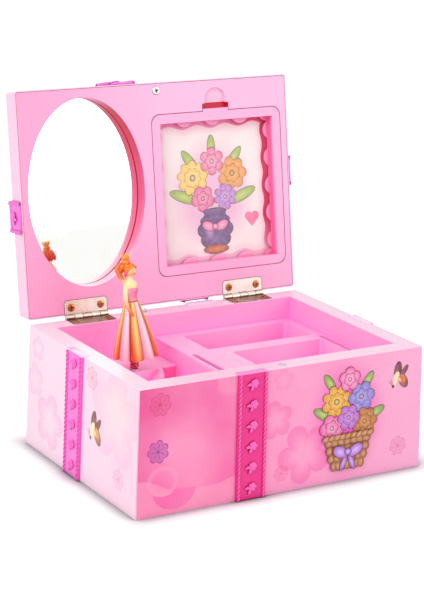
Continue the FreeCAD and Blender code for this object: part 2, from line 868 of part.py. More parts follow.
def lid_strap(half, shift, turn):
    """A ribbon across the lid's top, from the tab on one edge to the tab on the edge opposite."""
    low = face_z + lid_thickness
    reach = half - lid_draft - ribbon_gauge
    x0, x1 = shift - ribbon_width / 2, shift + ribbon_width / 2
    corners = ((x0, -reach), (x1, -reach), (-x0, reach), (-x1, reach))
    strap = prism([point(x, y, low) for x, y in corners], Z * ribbon_gauge)
    along = point(-2 * shift, 2 * reach, 0)
    added = []
    for x in (x0 + rope_radius, x1 - rope_radius):
        start = point(x, -reach, low + ribbon_gauge)
        added.append(rod(start, FreeCAD.Vector(along).normalize(), rope_radius, along.Length))
    count = int(along.Length / rose_pitch) - 1
    for number in range(count):
        middle = point(shift, -reach, low + ribbon_gauge - seat_gap) + along * ((number + 1) / (count + 1))
        added.append(rose(middle, Z))
    strap = strap.multiFuse(added)
    strap.rotate(point(0, 0, 0), Z, turn)
    return strap


def lid_ribbons():
    """One long ribbon from front to rear, and a half ribbon on each side that butts against it."""
    keep_above = box(-case_width, case_width, -case_depth, case_depth, face_z + lid_thickness,
                     face_z + 2 * lid_thickness)
    core = lid_outside()
    long_strap = lid_strap(top_y, front_ribbon_shift, 0).common(keep_above)
    front_tab = lid_tab(top_y, front_ribbon_shift, 0, ribbon_rise)
    rear_tab = lid_tab(top_y, front_ribbon_shift, 180, rear_tab_rise)
    long_one = long_strap.multiFuse([front_tab.cut(core), rear_tab.cut(core)])
    side_strap = lid_strap(top_x, side_ribbon_shift, 90).common(keep_above)
    gap_x0 = front_ribbon_shift - ribbon_width / 2 - seat_gap
    gap_x1 = front_ribbon_shift + ribbon_width / 2 + seat_gap
    reach = top_y - lid_draft - ribbon_gauge
    gap = prism([point(gap_x0, -reach, face_z), point(gap_x1, -reach, face_z),
                 point(-gap_x0, reach, face_z), point(-gap_x1, reach, face_z)], Z * 2 * lid_thickness)
    halves = side_strap.cut(gap).Solids
    sides = []
    for turn, sign in ((-90, -1), (90, 1)):
        half = [solid for solid in halves if solid.CenterOfMass.x * sign > 0]
        tab = lid_tab(top_x, side_ribbon_shift, turn, ribbon_rise).cut(core)
        sides.append(half[0].multiFuse(half[1:] + [tab]))
    return [opened(shape.removeSplitter()) for shape in [long_one] + sides]


# Tray

def jewellery_tray():
    """Lift-out tray: a flange with two hanging wells and a finger slot at each end."""
    x0, x1 = partition_x - partition_wall + seat_gap, bay_x - seat_gap
    half_y = bay_y - seat_gap
    low = tray_level - tray_gauge
    floor = tray_level - tray_well_depth
    flange = box(x0, x1, -half_y, half_y, low, tray_level)
    right = bay_x - tray_right_margin
    wells = [(tray_rear_well_left, right, tray_rear_well_front, bay_y - tray_rear_margin),
             (tray_front_well_left, right, tray_front_margin - bay_y, tray_front_well_rear)]
    outer = [rounded_plate(a - tray_gauge, b + tray_gauge, c - tray_gauge, d + tray_gauge,
                           floor - tray_gauge, low, tray_well_corner + tray_gauge) for a, b, c, d in wells]
    inner = [rounded_plate(*sides, floor, tray_level + seat_gap, tray_well_corner) for sides in wells]
    slots = []
    inset = finger_slot_edge + finger_slot_width / 2
    end_round = finger_slot_width / 2 - finger_slot_flat
    for middle in (x0 + inset, x1 - inset):
        slots.append(rounded_plate(middle - finger_slot_width / 2, middle + finger_slot_width / 2,
                                   finger_slot_rear - finger_slot_length, finger_slot_rear,
                                   low - seat_gap, tray_level + seat_gap, end_round))
    return flange.multiFuse(outer).cut(inner + slots).removeSplitter()


# Stage

def deck_region(inset, z0, z1):
    """The deck with its round podium, drawn in from its front edge by inset."""
    x0, x1 = seat_gap - bay_x, partition_x - partition_wall - seat_gap
    deck = box(x0, x1, deck_front + inset, bay_y - seat_gap, z0, z1)
    return deck.fuse(rod(point(doll_x, doll_y, z0), Z, podium_radius - inset, z1 - z0))


def flutes():
    """Upright ribs on the wall below the deck and round the podium."""
    low = bay_floor_level
    high = deck_level - flute_top_gap
    x0, x1 = seat_gap - bay_x, partition_x - partition_wall - seat_gap
    meet = math.sqrt(podium_radius ** 2 - (doll_y - deck_front) ** 2)
    places = []
    for start, end in ((doll_x + meet, x1), (x0, doll_x - meet)):
        count = int((end - start) / flute_pitch)
        places += [(start + (end - start) * (number + 0.5) / count, deck_front) for number in range(count)]
    span = math.pi - 2 * math.asin((doll_y - deck_front) / podium_radius)
    count = int(podium_radius * span / flute_pitch)
    for number in range(count):
        angle = -math.pi / 2 + span * ((number + 0.5) / count - 0.5)
        places.append((doll_x + podium_radius * math.cos(angle), doll_y + podium_radius * math.sin(angle)))
    return [rod(point(x, y, low), Z, flute_radius, high - low) for x, y in places]


def stage_insert():
    """Deck, fluted front wall, bay floor, and the trough in which the doll lies when she bows."""
    x0, x1 = seat_gap - bay_x, partition_x - partition_wall - seat_gap
    floor_low = bay_floor_level - deck_gauge
    deck = deck_region(0, deck_level - deck_gauge, deck_level)
    wall = deck_region(0, floor_low, deck_level).cut(deck_region(deck_gauge, floor_low, deck_level))
    front_part = box(x0, x1, doll_y - podium_radius - deck_gauge, deck_front + deck_gauge,
                     floor_low, deck_level)
    floor = box(x0, x1, seat_gap - bay_y, deck_front, floor_low, bay_floor_level)
    floor = floor.cut(deck_region(0, floor_low, bay_floor_level))
    trough_front = point(doll_x, doll_y - 2 * podium_radius, pivot_level)
    length = trough_rear - trough_front.y
    lining = rod(trough_front, Y, trough_radius + trough_wall, length + trough_wall)
    lining = lining.common(deck_region(0, floor_low, deck_level))
    bush = rod(point(doll_x, doll_y, deck_level - deck_gauge - bush_depth), Z, bush_radius, bush_depth)
    whole = deck.multiFuse([wall.common(front_part), floor, lining, bush] + flutes())
    arbor_hole = rod(point(doll_x, doll_y, floor_low), Z, arbor_radius + bearing_gap, deck_level)
    return whole.cut([rod(trough_front, Y, trough_radius, length), arbor_hole]).removeSplitter()


# Doll

def stand(shape):
    """Turn the doll to the way she faces and tip her a little on her spring."""
    shape.rotate(point(doll_x, doll_y, 0), Z, doll_turn)
    bearing = math.radians(doll_lean_bearing + 90)
    axis = point(math.cos(bearing), math.sin(bearing), 0)
    shape.rotate(point(doll_x, doll_y, pivot_level), axis, doll_lean)
    return shape


def fluted_ring(level, radius, wave):
    """A closed smooth curve with one swell per flute."""
    points = []
    for number in range(2 * hem_flutes):
        angle = math.pi * number / hem_flutes
        reach = radius + (wave if number % 2 == 0 else -wave)
        points.append(point(doll_x + reach * math.cos(angle), doll_y + reach * math.sin(angle), level))
    curve = Part.BSplineCurve()
    curve.interpolate(points, PeriodicFlag=True)
    return Part.Wire([curve.toShape()])


def doll_turning(profile):
    """A solid turned about the doll's axis from (radius, level) points."""
    points = [point(doll_x + radius, doll_y, level) for radius, level in profile]
    face = Part.Face(Part.makePolygon(points + points[:1]))
    return face.revolve(point(doll_x, doll_y, 0), Z, 360)


def ballerina_gown():
    """Fluted skirt, hollow from below, with a close bodice and the stem that sits on the spring."""
    rings = [fluted_ring(hem_level, hem_radius, hem_wave), fluted_ring(knee_level, knee_radius, hem_wave / 2),
             fluted_ring(waist_level, waist_radius, 0)]
    skirt = Part.makeLoft(rings, True, False)
    inner_waist = waist_radius - seat_gap
    bodice = doll_turning([(0, waist_level - gown_lap), (inner_waist, waist_level - gown_lap),
                           (inner_waist, waist_level), (bust_radius, bust_level), (0, bust_level)])
    hollow = doll_turning([(0, hem_level - gown_lap), (gown_hollow_radius, hem_level - gown_lap),
                           (stem_radius + gown_lap, gown_hollow_top), (0, gown_hollow_top)])
    stem_low = spring_top + running_gap
    stem_high = gown_hollow_top + gown_lap
    stem = doll_turning([(0, stem_low), (stem_radius, stem_low), (stem_radius, stem_high), (0, stem_high)])
    return stand(skirt.fuse(bodice).cut(hollow).fuse(stem))


def limb(start, end, radius, end_radius):
    """A tapering limb with round ends."""
    run = end - start
    cone = Part.makeCone(radius, end_radius, run.Length, start, run)
    return cone.multiFuse([Part.makeSphere(radius, start), Part.makeSphere(end_radius, end)])


def hair_block():
    """Hair drawn up into a bun, with a small crown on it."""
    at = point(doll_x, doll_y + hair_set_back, head_level)
    cap = Part.makeSphere(head_radius + hair_depth, at)
    reach = 2 * head_radius
    face_side = box(doll_x - reach, doll_x + reach, doll_y - reach, doll_y + hair_set_back,
                    head_level - reach, head_level + head_radius / 2)
    bun = Part.makeSphere(bun_radius, point(at.x, at.y, bun_level))
    foot = point(at.x, at.y, bun_level)
    crown = Part.makeCone(crown_foot, crown_radius_top, crown_level - bun_level, foot, Z)
    return cap.cut(face_side).multiFuse([bun, crown])


def ballerina_hair():
    return stand(hair_block())


def ballerina_figure():
    """Chest, neck, head and arms. One hand is behind the head and the other holds the skirt."""
    reach = bust_radius - arm_radius
    trunk = doll_turning([(0, bust_level), (bust_radius - seat_gap, bust_level),
                          (bust_radius - seat_gap, shoulder_level), (neck_radius, neck_level),
                          (neck_radius, head_level), (0, head_level)])
    head = Part.makeSphere(head_radius, point(doll_x, doll_y, head_level))
    high_shoulder = point(doll_x - reach, doll_y, shoulder_level - arm_radius)
    high_elbow = point(doll_x - elbow_reach, doll_y, elbow_level)
    high_hand = point(doll_x - head_radius, doll_y + head_radius, head_level + head_radius)
    low_shoulder = point(doll_x + reach, doll_y, shoulder_level - arm_radius)
    low_elbow = point(doll_x + low_elbow_reach, doll_y, low_elbow_level)
    low_hand = point(doll_x + low_hand_reach, doll_y - low_hand_reach, low_hand_level)
    arms = [limb(high_shoulder, high_elbow, arm_radius, elbow_radius),
            limb(high_elbow, high_hand, elbow_radius, hand_radius),
            limb(low_shoulder, low_elbow, arm_radius, elbow_radius),
            limb(low_elbow, low_hand, elbow_radius, hand_radius)]
    figure = trunk.multiFuse([head] + arms).cut(hair_block())
    figure = max(figure.Solids, key=lambda solid: solid.Volume)
    return stand(figure).cut(ballerina_gown())


def coil_points(turns, per_turn):
    points = []
    for number in range(int(turns * per_turn) + 1):
        angle = 2 * math.pi * number / per_turn
        level = spring_low + coil_wire + coil_pitch * number / per_turn
        x = doll_x + coil_radius * math.cos(angle)
        points.append(point(x, doll_y + coil_radius * math.sin(angle), level))
    return points


def doll_spring():
    """One unbroken coil of wire, swept along arcs of a quarter turn."""
    points = coil_points(coil_turns, coil_steps)
    arcs = [Part.Arc(*points[k:k + 3]).toShape() for k in range(0, len(points) - 2, 2)]
    path = Part.Wire(arcs)
    start = points[0]
    tangent = arcs[0].tangentAt(arcs[0].FirstParameter)
    ring = Part.Wire([Part.Circle(start, tangent, coil_wire).toShape()])
    shape = path.makePipeShell([ring], True, False)
    fine = coil_points(coil_turns, coil_test_steps)
    gaps = [(a - b).Length for k, a in enumerate(fine) for b in fine[k + coil_test_steps // 2:]]
    print("doll_spring least gap to itself", round(min(gaps) - 2 * coil_wire, 2))
    return shape


# Gears

def tooth_ring(root, tip, count, root_half, tip_half, phase):
    """The outline of a spur gear in the XY plane, with straight-sided teeth."""
    points = []
    for number in range(count):
        angle = 2 * math.pi * number / count + phase
        for reach, half in ((root, -root_half), (tip, -tip_half), (tip, tip_half), (root, root_half)):
            turn = angle + half / reach
            points.append(point(reach * math.cos(turn), reach * math.sin(turn), 0))
    return points


def spur(module, count, face, phase):
    """A spur gear about Z, from z = 0 to face. A tooth points along X when phase is 0."""
    pitch = math.pi * module
    root = module * count / 2 - module - tooth_root_gap
    tip = module * count / 2 + module * tooth_height
    outline = tooth_ring(root, tip, count, pitch * tooth_share * tooth_foot, pitch * tooth_share * tooth_tip,
                         phase)
    return prism(outline, Z * face)


def great_wheel():
    """Contrate wheel: a disc with a ring of teeth on its front face."""
    front = mesh_y + gear_module + tooth_root_gap
    hub = winding_radius + bearing_gap
    disc = rod(point(0, 0, 0), Z, crown_radius + crown_face / 2, crown_disc)
    pitch = math.pi * gear_module
    height = gear_module * (1 + tooth_height) + tooth_root_gap
    foot, tip = pitch * tooth_share * tooth_foot, pitch * tooth_share * tooth_tip
    reach = crown_radius - crown_face / 2
    section = [point(reach, -foot, crown_disc), point(reach, foot, crown_disc),
               point(reach, tip, crown_disc + height), point(reach, -tip, crown_disc + height)]
    tooth = prism(section, X * crown_face)
    teeth = []
    for number in range(crown_teeth):
        copy = tooth.copy()
        copy.rotate(point(0, 0, 0), Z, 360 * number / crown_teeth)
        teeth.append(copy)
    wheel = disc.multiFuse(teeth).cut(rod(point(0, 0, -crown_disc), Z, hub, 3 * crown_disc))
    wheel.rotate(point(0, 0, 0), X, 90)
    wheel.translate(point(doll_x, front + crown_disc, drive_level))
    return wheel


def doll_arbor():
    """Upright arbor with the pinion that meets the great wheel, and the collar under the spring."""
    mesh_level = drive_level + crown_radius
    low = mesh_level - pinion_face / 2
    pinion = spur(gear_module, pinion_teeth, pinion_face, math.pi / 2)
    pinion.translate(point(doll_x, doll_y, low))
    shaft = rod(point(doll_x, doll_y, low - running_gap), Z, arbor_radius, spring_low - low + running_gap)
    collar = rod(point(doll_x, doll_y, deck_level + bearing_gap), Z, collar_radius, collar_height)
    return pinion.multiFuse([shaft, collar])


def along_x(shape, x):
    """Lay a part drawn about Z along the cylinder's axis, starting at x."""
    shape.rotate(point(0, 0, 0), Y, 90)
    shape.translate(point(x, doll_y, drive_level))
    return shape


def pin_cylinder():
    """Cylinder with its pins, its arbor and the pinion that meets the side of the great wheel."""
    barrel = rod(point(cylinder_left, doll_y, drive_level), X, cylinder_radius, cylinder_length)
    half_pitch = math.pi / pinion_teeth
    pinion = along_x(spur(gear_module, pinion_teeth, pinion_face, math.pi / 2 + half_pitch),
                     doll_x - crown_radius - pinion_face / 2)
    left, right = plate_left, doll_x - crown_radius + cheek_stand + cheek_gauge
    shaft = rod(point(left, doll_y, drive_level), X, arbor_radius, right - left)
    pins = []
    for row in range(pin_rows):
        x = cylinder_left + cylinder_length * (row + 0.5) / pin_rows
        for number in range(pins_per_row):
            angle = 2 * math.pi * (number + pin_stagger * row) / pins_per_row
            outward = point(0, math.cos(angle), math.sin(angle))
            start = point(x, doll_y, drive_level) + outward * (cylinder_radius - pin_height)
            pins.append(rod(start, outward, pin_radius, 2 * pin_height))
    return shaft.multiFuse([barrel, pinion] + pins)


def cylinder_gear():
    gear = along_x(spur(spur_module, spur_teeth, spur_face, 0), cylinder_left - spur_face)
    return gear.cut(rod(point(plate_left, doll_y, drive_level), X, arbor_radius, cylinder_left - plate_left))


governor_reach = spur_module * (spur_teeth + governor_teeth) / 2
governor_y = doll_y + governor_reach * math.cos(math.radians(governor_bearing))
governor_z = drive_level + governor_reach * math.sin(math.radians(governor_bearing))
governor_x0 = cylinder_left + running_gap


def governor_pinion():
    """Pinion of the air brake. Its shaft runs into the closed housing."""
    facing = math.radians(governor_bearing)
    phase = governor_tooth_phase(facing)
    gear = spur(spur_module, governor_teeth, spur_face, phase)
    gear.rotate(point(0, 0, 0), Y, 90)
    gear.translate(point(cylinder_left - spur_face, governor_y, governor_z))
    shaft = rod(point(cylinder_left - spur_face, governor_y, governor_z), X, governor_shaft,
                spur_face + running_gap + governor_size[0] / 2)
    return gear.fuse(shaft)


def governor_tooth_phase(facing):
    """Turn of the pinion that puts a gap where the cylinder's gear has a tooth, or the other way round."""
    gear_angle = math.pi / 2 + facing
    gear_step = 2 * math.pi / spur_teeth
    off = (gear_angle - round(gear_angle / gear_step) * gear_step) / gear_step
    pinion_step = 2 * math.pi / governor_teeth
    return gear_angle + math.pi + pinion_step / 2 + off * pinion_step


def governor_housing():
    """Closed moulding round the worm and the air brake."""
    length, depth, height = governor_size
    y1 = plate_front
    z0 = governor_z - height / 3
    housing = box(governor_x0, governor_x0 + length, y1 - depth, y1, z0, z0 + height)
    edges = [edge for edge in housing.Edges if abs(edge.tangentAt(0).dot(Y)) > nearly_parallel]
    housing = housing.makeFillet(governor_round, edges)
    bore = rod(point(governor_x0 - running_gap, governor_y, governor_z), X, governor_shaft + bearing_gap,
               running_gap + governor_size[0] / 2 + running_gap)
    top = z0 + height
    stop_bore = rod(point(stop_foot_x, stop_foot_y, top - governor_round), Z, stop_radius + stop_gap,
                    2 * governor_round)
    return housing.cut([bore, stop_bore])


# Rest of the movement

def movement_plate():
    """Bedplate with a shelf for the comb, two cheeks for the cylinder and an arm for the doll's arbor."""
    plate = rounded_plate(plate_left, plate_right, plate_low, plate_high, 0, plate_gauge, boss_radius)
    plate.rotate(point(0, 0, 0), X, 90)
    plate.translate(Y * plate_rear)
    shelf_front = doll_y - cheek_reach
    meet = plate_front + seat_gap
    added = [box(plate_left, shelf_right, shelf_front, meet, plate_low, plate_low + shelf_gauge)]
    cheek_high = drive_level + cheek_reach
    inner_cheek = doll_x - crown_radius + cheek_stand
    for x in (plate_left, inner_cheek):
        cheek = box(x, x + cheek_gauge, shelf_front, doll_y + cheek_back, plate_low, cheek_high)
        added.append(cheek)
    added.append(box(doll_x - arm_width / 2, doll_x + arm_width / 2, doll_y - arm_front, meet,
                     arm_level, arm_level + shelf_gauge))
    block_x0, block_x1 = comb_x()
    added.append(box(block_x0, block_x1, doll_y + comb_gauge / 2, doll_y + comb_gauge / 2 + comb_block,
                     plate_low, comb_low + comb_root))
    cuts = [rod(point(plate_left - seat_gap, doll_y, drive_level), X, arbor_radius + bearing_gap,
                inner_cheek - plate_left + 2 * cheek_gauge),
            rod(point(doll_x, doll_y, arm_level - seat_gap), Z, arbor_radius + bearing_gap,
                shelf_gauge + 2 * seat_gap),
            rod(point(doll_x, plate_front - seat_gap, drive_level), Y, winding_radius + bearing_gap,
                plate_gauge + 2 * seat_gap)]
    cuts += [screw_hole(movement_screw, point(x, plate_front, z), Y) for x, z in movement_bosses]
    for place in comb_screw_places(comb_gauge / 2):
        cuts.append(rod(place, Y, comb_screw[0] + screw_gap, comb_block))
    return plate.multiFuse(added).cut(cuts).removeSplitter()


comb_low = plate_low + shelf_gauge + running_gap
comb_tip = drive_level - cylinder_radius - pin_height - running_gap


def comb_x():
    return cylinder_left, cylinder_left + cylinder_length


def comb_screw_places(shift):
    x0, x1 = comb_x()
    z = comb_low + comb_root / 2
    return [point(x0 + (x1 - x0) * share, doll_y + shift, z) for share in (0.25, 0.75)]


def sound_comb():
    """Steel comb. Its slits grow longer towards the bass end."""
    x0, x1 = comb_x()
    plate = box(x0, x1, doll_y - comb_gauge / 2, doll_y + comb_gauge / 2, comb_low, comb_tip)
    step = (x1 - x0) / pin_rows
    slits = []
    for number in range(1, pin_rows):
        x = x0 + step * number
        root = comb_low + comb_root + comb_slope * (pin_rows - number)
        slits.append(box(x - comb_slit / 2, x + comb_slit / 2, doll_y - comb_gauge, doll_y + comb_gauge,
                         root, comb_tip + seat_gap))
    holes = [screw_hole(comb_screw, place, Y) for place in comb_screw_places(-comb_gauge / 2)]
    return plate.cut(slits + holes)


def comb_screws():
    return Part.makeCompound([countersunk_screw(comb_screw, place, Y)
                              for place in comb_screw_places(-comb_gauge / 2)])


def movement_screws():
    return Part.makeCompound([countersunk_screw(movement_screw, point(x, plate_front, z), Y)
                              for x, z in movement_bosses])


def spring_housing():
    """Cup round the mainspring, on the front of the bedplate."""
    start = point(doll_x, housing_front, drive_level)
    radius = crown_radius + crown_face / 2 - housing_wall / 2
    cup = rod(start, Y, radius, housing_depth)
    hollow = rod(start + Y * housing_wall, Y, radius - housing_wall, housing_depth)
    bore = rod(start - Y * housing_wall, Y, winding_radius + running_gap, 3 * housing_wall)
    return cup.cut([hollow, bore])


def mainspring():
    """Flat spiral from the winding arbor out to the cup."""
    inner = winding_radius + running_gap
    outer = crown_radius + crown_face / 2 - 1.5 * housing_wall - running_gap - spring_gauge
    per_turn = 20
    count = spring_turns * per_turn
    rails = []
    for extra in (0, spring_gauge):
        rail = []
        for number in range(count + 1):
            reach = inner + (outer - inner) * number / count + extra
            angle = 2 * math.pi * number / per_turn
            rail.append(point(doll_x + reach * math.cos(angle), 0, drive_level + reach * math.sin(angle)))
        rails.append(rail)
    strip = prism(rails[0] + rails[1][::-1], Y * spring_width)
    strip.translate(Y * (housing_front + housing_depth - running_gap - spring_width))
    return strip


def winding_arbor():
    front = mesh_y + gear_module + tooth_root_gap
    end = outer_y(drive_level) + key_gap + key_hub_length
    return rod(point(doll_x, front, drive_level), Y, winding_radius, end - front)


def winding_key():
    """Butterfly key on the rear end of the winding arbor."""
    start = outer_y(drive_level) + key_gap
    hub = rod(point(doll_x, start, drive_level), Y, key_hub_radius, key_hub_length)
    half = key_gauge / 2
    low = start + key_hub_length / 2
    parts = [hub]
    lobe = key_height / 2
    for side in (-1, 1):
        middle = point(doll_x + side * (key_span - lobe), low + lobe, drive_level - half)
        parts.append(rod(middle, Z, lobe, key_gauge))
    web = prism([point(doll_x - key_span + lobe, low, drive_level - half),
                 point(doll_x + key_span - lobe, low, drive_level - half),
                 point(doll_x + key_span - lobe, low + key_height, drive_level - half),
                 point(doll_x, low + lobe, drive_level - half),
                 point(doll_x - key_span + lobe, low + key_height, drive_level - half)], Z * key_gauge)
    parts.append(web)
    cuts = [rod(point(doll_x, start - seat_gap, drive_level), Y, winding_radius, key_hub_length + seat_gap)]
    for side in (-1, 1):
        middle = point(doll_x + side * (key_span - lobe), low + lobe, drive_level - key_gauge)
        cuts.append(rod(middle, Z, key_eye, 2 * key_gauge))
    return parts[0].multiFuse(parts[1:]).cut(cuts)


def bent_wire(points, radius, bend):
    """A round wire through the points, with a bend of the given radius at each corner."""
    edges = []
    last = points[0]
    for before, corner, after in zip(points, points[1:], points[2:]):
        come = (corner - before).normalize()
        leave = (after - corner).normalize()
        start, end = corner - come * bend, corner + leave * bend
        middle = corner + (leave - come) * (bend * (1 - math.sqrt(0.5)))
        edges.append(Part.makeLine(last, start))
        edges.append(Part.Arc(start, middle, end).toShape())
        last = end
    edges.append(Part.makeLine(last, points[-1]))
    ring = Part.Wire([Part.Circle(points[0], points[1] - points[0], radius).toShape()])
    return Part.Wire(edges).makePipeShell([ring], True, False)


def stop_rod():
    """Bent wire from the rear rim to the governor. The lid pushes it down and holds the air brake."""
    top = point(stop_x, stop_y, case_height + stop_proud)
    run = point(stop_x, stop_y, stop_run_level)
    turn = point(stop_foot_x, stop_y, stop_run_level)
    over = point(stop_foot_x, stop_foot_y, stop_run_level)
    foot_level = governor_z + governor_size[2] * 2 / 3 + stop_travel - stop_dip
    foot = point(stop_foot_x, stop_foot_y, foot_level)
    return bent_wire([top, run, turn, over, foot], stop_radius, stop_bend)


def main():
    os.makedirs("parts", exist_ok=True)
    half_x, half_y = case_width / 2, case_depth / 2
    ribbons = lid_ribbons()
    parts = {
        "case_shell": case_shell(), "bottom_plate": bottom_plate(), "bottom_screws": bottom_screws(),
        "stage_insert": stage_insert(), "jewellery_tray": jewellery_tray(), "catch_magnet": catch_magnet(),
        "ribbon_front": base_ribbon(half_y, front_ribbon_shift, 0),
        "ribbon_rear": base_ribbon(half_y, front_ribbon_shift, 180),
        "ribbon_left": base_ribbon(half_x, side_ribbon_shift, -90),
        "ribbon_right": base_ribbon(half_x, side_ribbon_shift, 90),
        "hinge_base_leaf_left": hinge_base_leaf(-1), "hinge_base_leaf_right": hinge_base_leaf(1),
        "hinge_lid_leaf_left": hinge_lid_leaf(-1), "hinge_lid_leaf_right": hinge_lid_leaf(1),
        "hinge_pins": hinge_pins(), "hinge_base_screws": hinge_base_screws(),
        "hinge_lid_screws": hinge_lid_screws(), "lid_shell": lid_shell(), "lid_panel": lid_panel(),
        "mirror_bezel": mirror_bezel(), "mirror": mirror(), "picture_door": picture_door(),
        "picture_mat": picture_mat(), "picture_glazing": picture_glazing(), "picture_card": picture_card(),
        "catch_screw": catch_screw(), "lid_ribbon_long": ribbons[0], "lid_ribbon_left": ribbons[1],
        "lid_ribbon_right": ribbons[2], "ballerina_gown": ballerina_gown(),
        "ballerina_figure": ballerina_figure(), "ballerina_hair": ballerina_hair(),
        "doll_spring": doll_spring(), "doll_arbor": doll_arbor(), "great_wheel": great_wheel(),
        "pin_cylinder": pin_cylinder(), "cylinder_gear": cylinder_gear(),
        "governor_pinion": governor_pinion(), "governor_housing": governor_housing(),
        "movement_plate": movement_plate(), "movement_screws": movement_screws(),
        "spring_housing": spring_housing(), "mainspring": mainspring(), "sound_comb": sound_comb(),
        "comb_screws": comb_screws(), "winding_arbor": winding_arbor(), "winding_key": winding_key(),
        "stop_rod": stop_rod(),
    }
    for name, shape in parts.items():
        save(name, shape)


main()
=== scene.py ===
# %% [markdown]
# # A ballerina jewellery box
# The box is pink moulded plastic: a printed base, a lid with a mirror and a picture frame, a
# lift-out tray and a doll on a coil spring. The solid model comes first and stays fixed. This
# lesson dresses it: paints for what is already right, and new pieces where a finer form shows.

# %% Load the solid model
import math
import bpy
from mathutils import Matrix, Vector


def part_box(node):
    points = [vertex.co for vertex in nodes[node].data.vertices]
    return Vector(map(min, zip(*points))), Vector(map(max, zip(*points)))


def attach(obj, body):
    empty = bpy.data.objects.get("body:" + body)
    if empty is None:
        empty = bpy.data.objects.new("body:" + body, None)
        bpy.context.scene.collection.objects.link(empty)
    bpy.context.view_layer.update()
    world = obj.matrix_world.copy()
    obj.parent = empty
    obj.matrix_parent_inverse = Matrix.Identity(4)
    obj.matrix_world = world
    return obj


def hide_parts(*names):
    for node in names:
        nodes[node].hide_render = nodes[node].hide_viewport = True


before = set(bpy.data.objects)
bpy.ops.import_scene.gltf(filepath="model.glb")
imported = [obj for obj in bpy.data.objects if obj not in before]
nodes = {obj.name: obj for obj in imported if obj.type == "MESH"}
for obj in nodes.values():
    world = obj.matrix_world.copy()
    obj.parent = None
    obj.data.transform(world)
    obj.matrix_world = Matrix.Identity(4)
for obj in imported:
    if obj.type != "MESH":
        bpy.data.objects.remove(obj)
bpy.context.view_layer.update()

mm = 0.001

# %% [markdown]
# ## The camera
# The picture was taken from the left and a little above, with a long lens, so the edges stay
# nearly parallel. A camera can be aimed with a constraint, but here its three axes are worked
# out from the two viewing angles and the slight roll, which puts it exactly where it stood.

# %% Camera
view_azimuth = math.radians(-31.27)
view_elevation = math.radians(15.71)
view_roll = math.radians(1.82)
view_place = Vector((-592.8, -959.9, 417.2)) * mm
picture_width, picture_height = 424, 600
focal_pixels = 1913.9

backward = Vector((math.sin(view_azimuth) * math.cos(view_elevation),
                   -math.cos(view_azimuth) * math.cos(view_elevation), math.sin(view_elevation)))
level_right = (-backward).cross(Vector((0, 0, 1))).normalized()
level_up = backward.cross(level_right)
right = level_right * math.cos(view_roll) + level_up * math.sin(view_roll)
up = level_up * math.cos(view_roll) - level_right * math.sin(view_roll)

camera_data = bpy.data.cameras.new("view")
camera_data.sensor_width = 36
camera_data.lens = focal_pixels * camera_data.sensor_width / max(picture_width, picture_height)
camera = bpy.data.objects.new("view", camera_data)
camera.matrix_world = Matrix.Translation(view_place) @ Matrix((right, up, backward)).transposed().to_4x4()
bpy.context.scene.collection.objects.link(camera)
bpy.context.scene.camera = camera
bpy.context.scene.view_settings.view_transform = "Standard"
print("lens", round(camera_data.lens, 1), "mm")

# %% [markdown]
# ## Shader maths
# Every finish here is worked out by nodes. Wiring them one by one is long, so one small class
# wraps a socket and lets Python operators add Math nodes, and another holds a material.

# %% A socket that can be added and multiplied
class Value:
    """A number that changes over a surface."""

    def __init__(self, paint, socket):
        self.paint = paint
        self.socket = socket

    def __add__(self, other):
        return self.paint.maths("ADD", self, other)

    __radd__ = __add__

    def __sub__(self, other):
        return self.paint.maths("SUBTRACT", self, other)

    def __rsub__(self, other):
        return self.paint.maths("SUBTRACT", other, self)

    def __mul__(self, other):
        return self.paint.maths("MULTIPLY", self, other)

    __rmul__ = __mul__

    def __truediv__(self, other):
        return self.paint.maths("DIVIDE", self, other)

    def __pow__(self, other):
        return self.paint.maths("POWER", self, other)

    def __abs__(self):
        return self.paint.maths("ABSOLUTE", self)

    def __neg__(self):
        return self.paint.maths("MULTIPLY", self, -1)


# %% A material and its nodes
def tint(red, green, blue):
    """A colour given as on a screen, 0 to 255, in the linear light that shaders work in."""
    shares = (red / 255, green / 255, blue / 255)
    return tuple(s / 12.92 if s < 0.04045 else ((s + 0.055) / 1.055) ** 2.4 for s in shares)


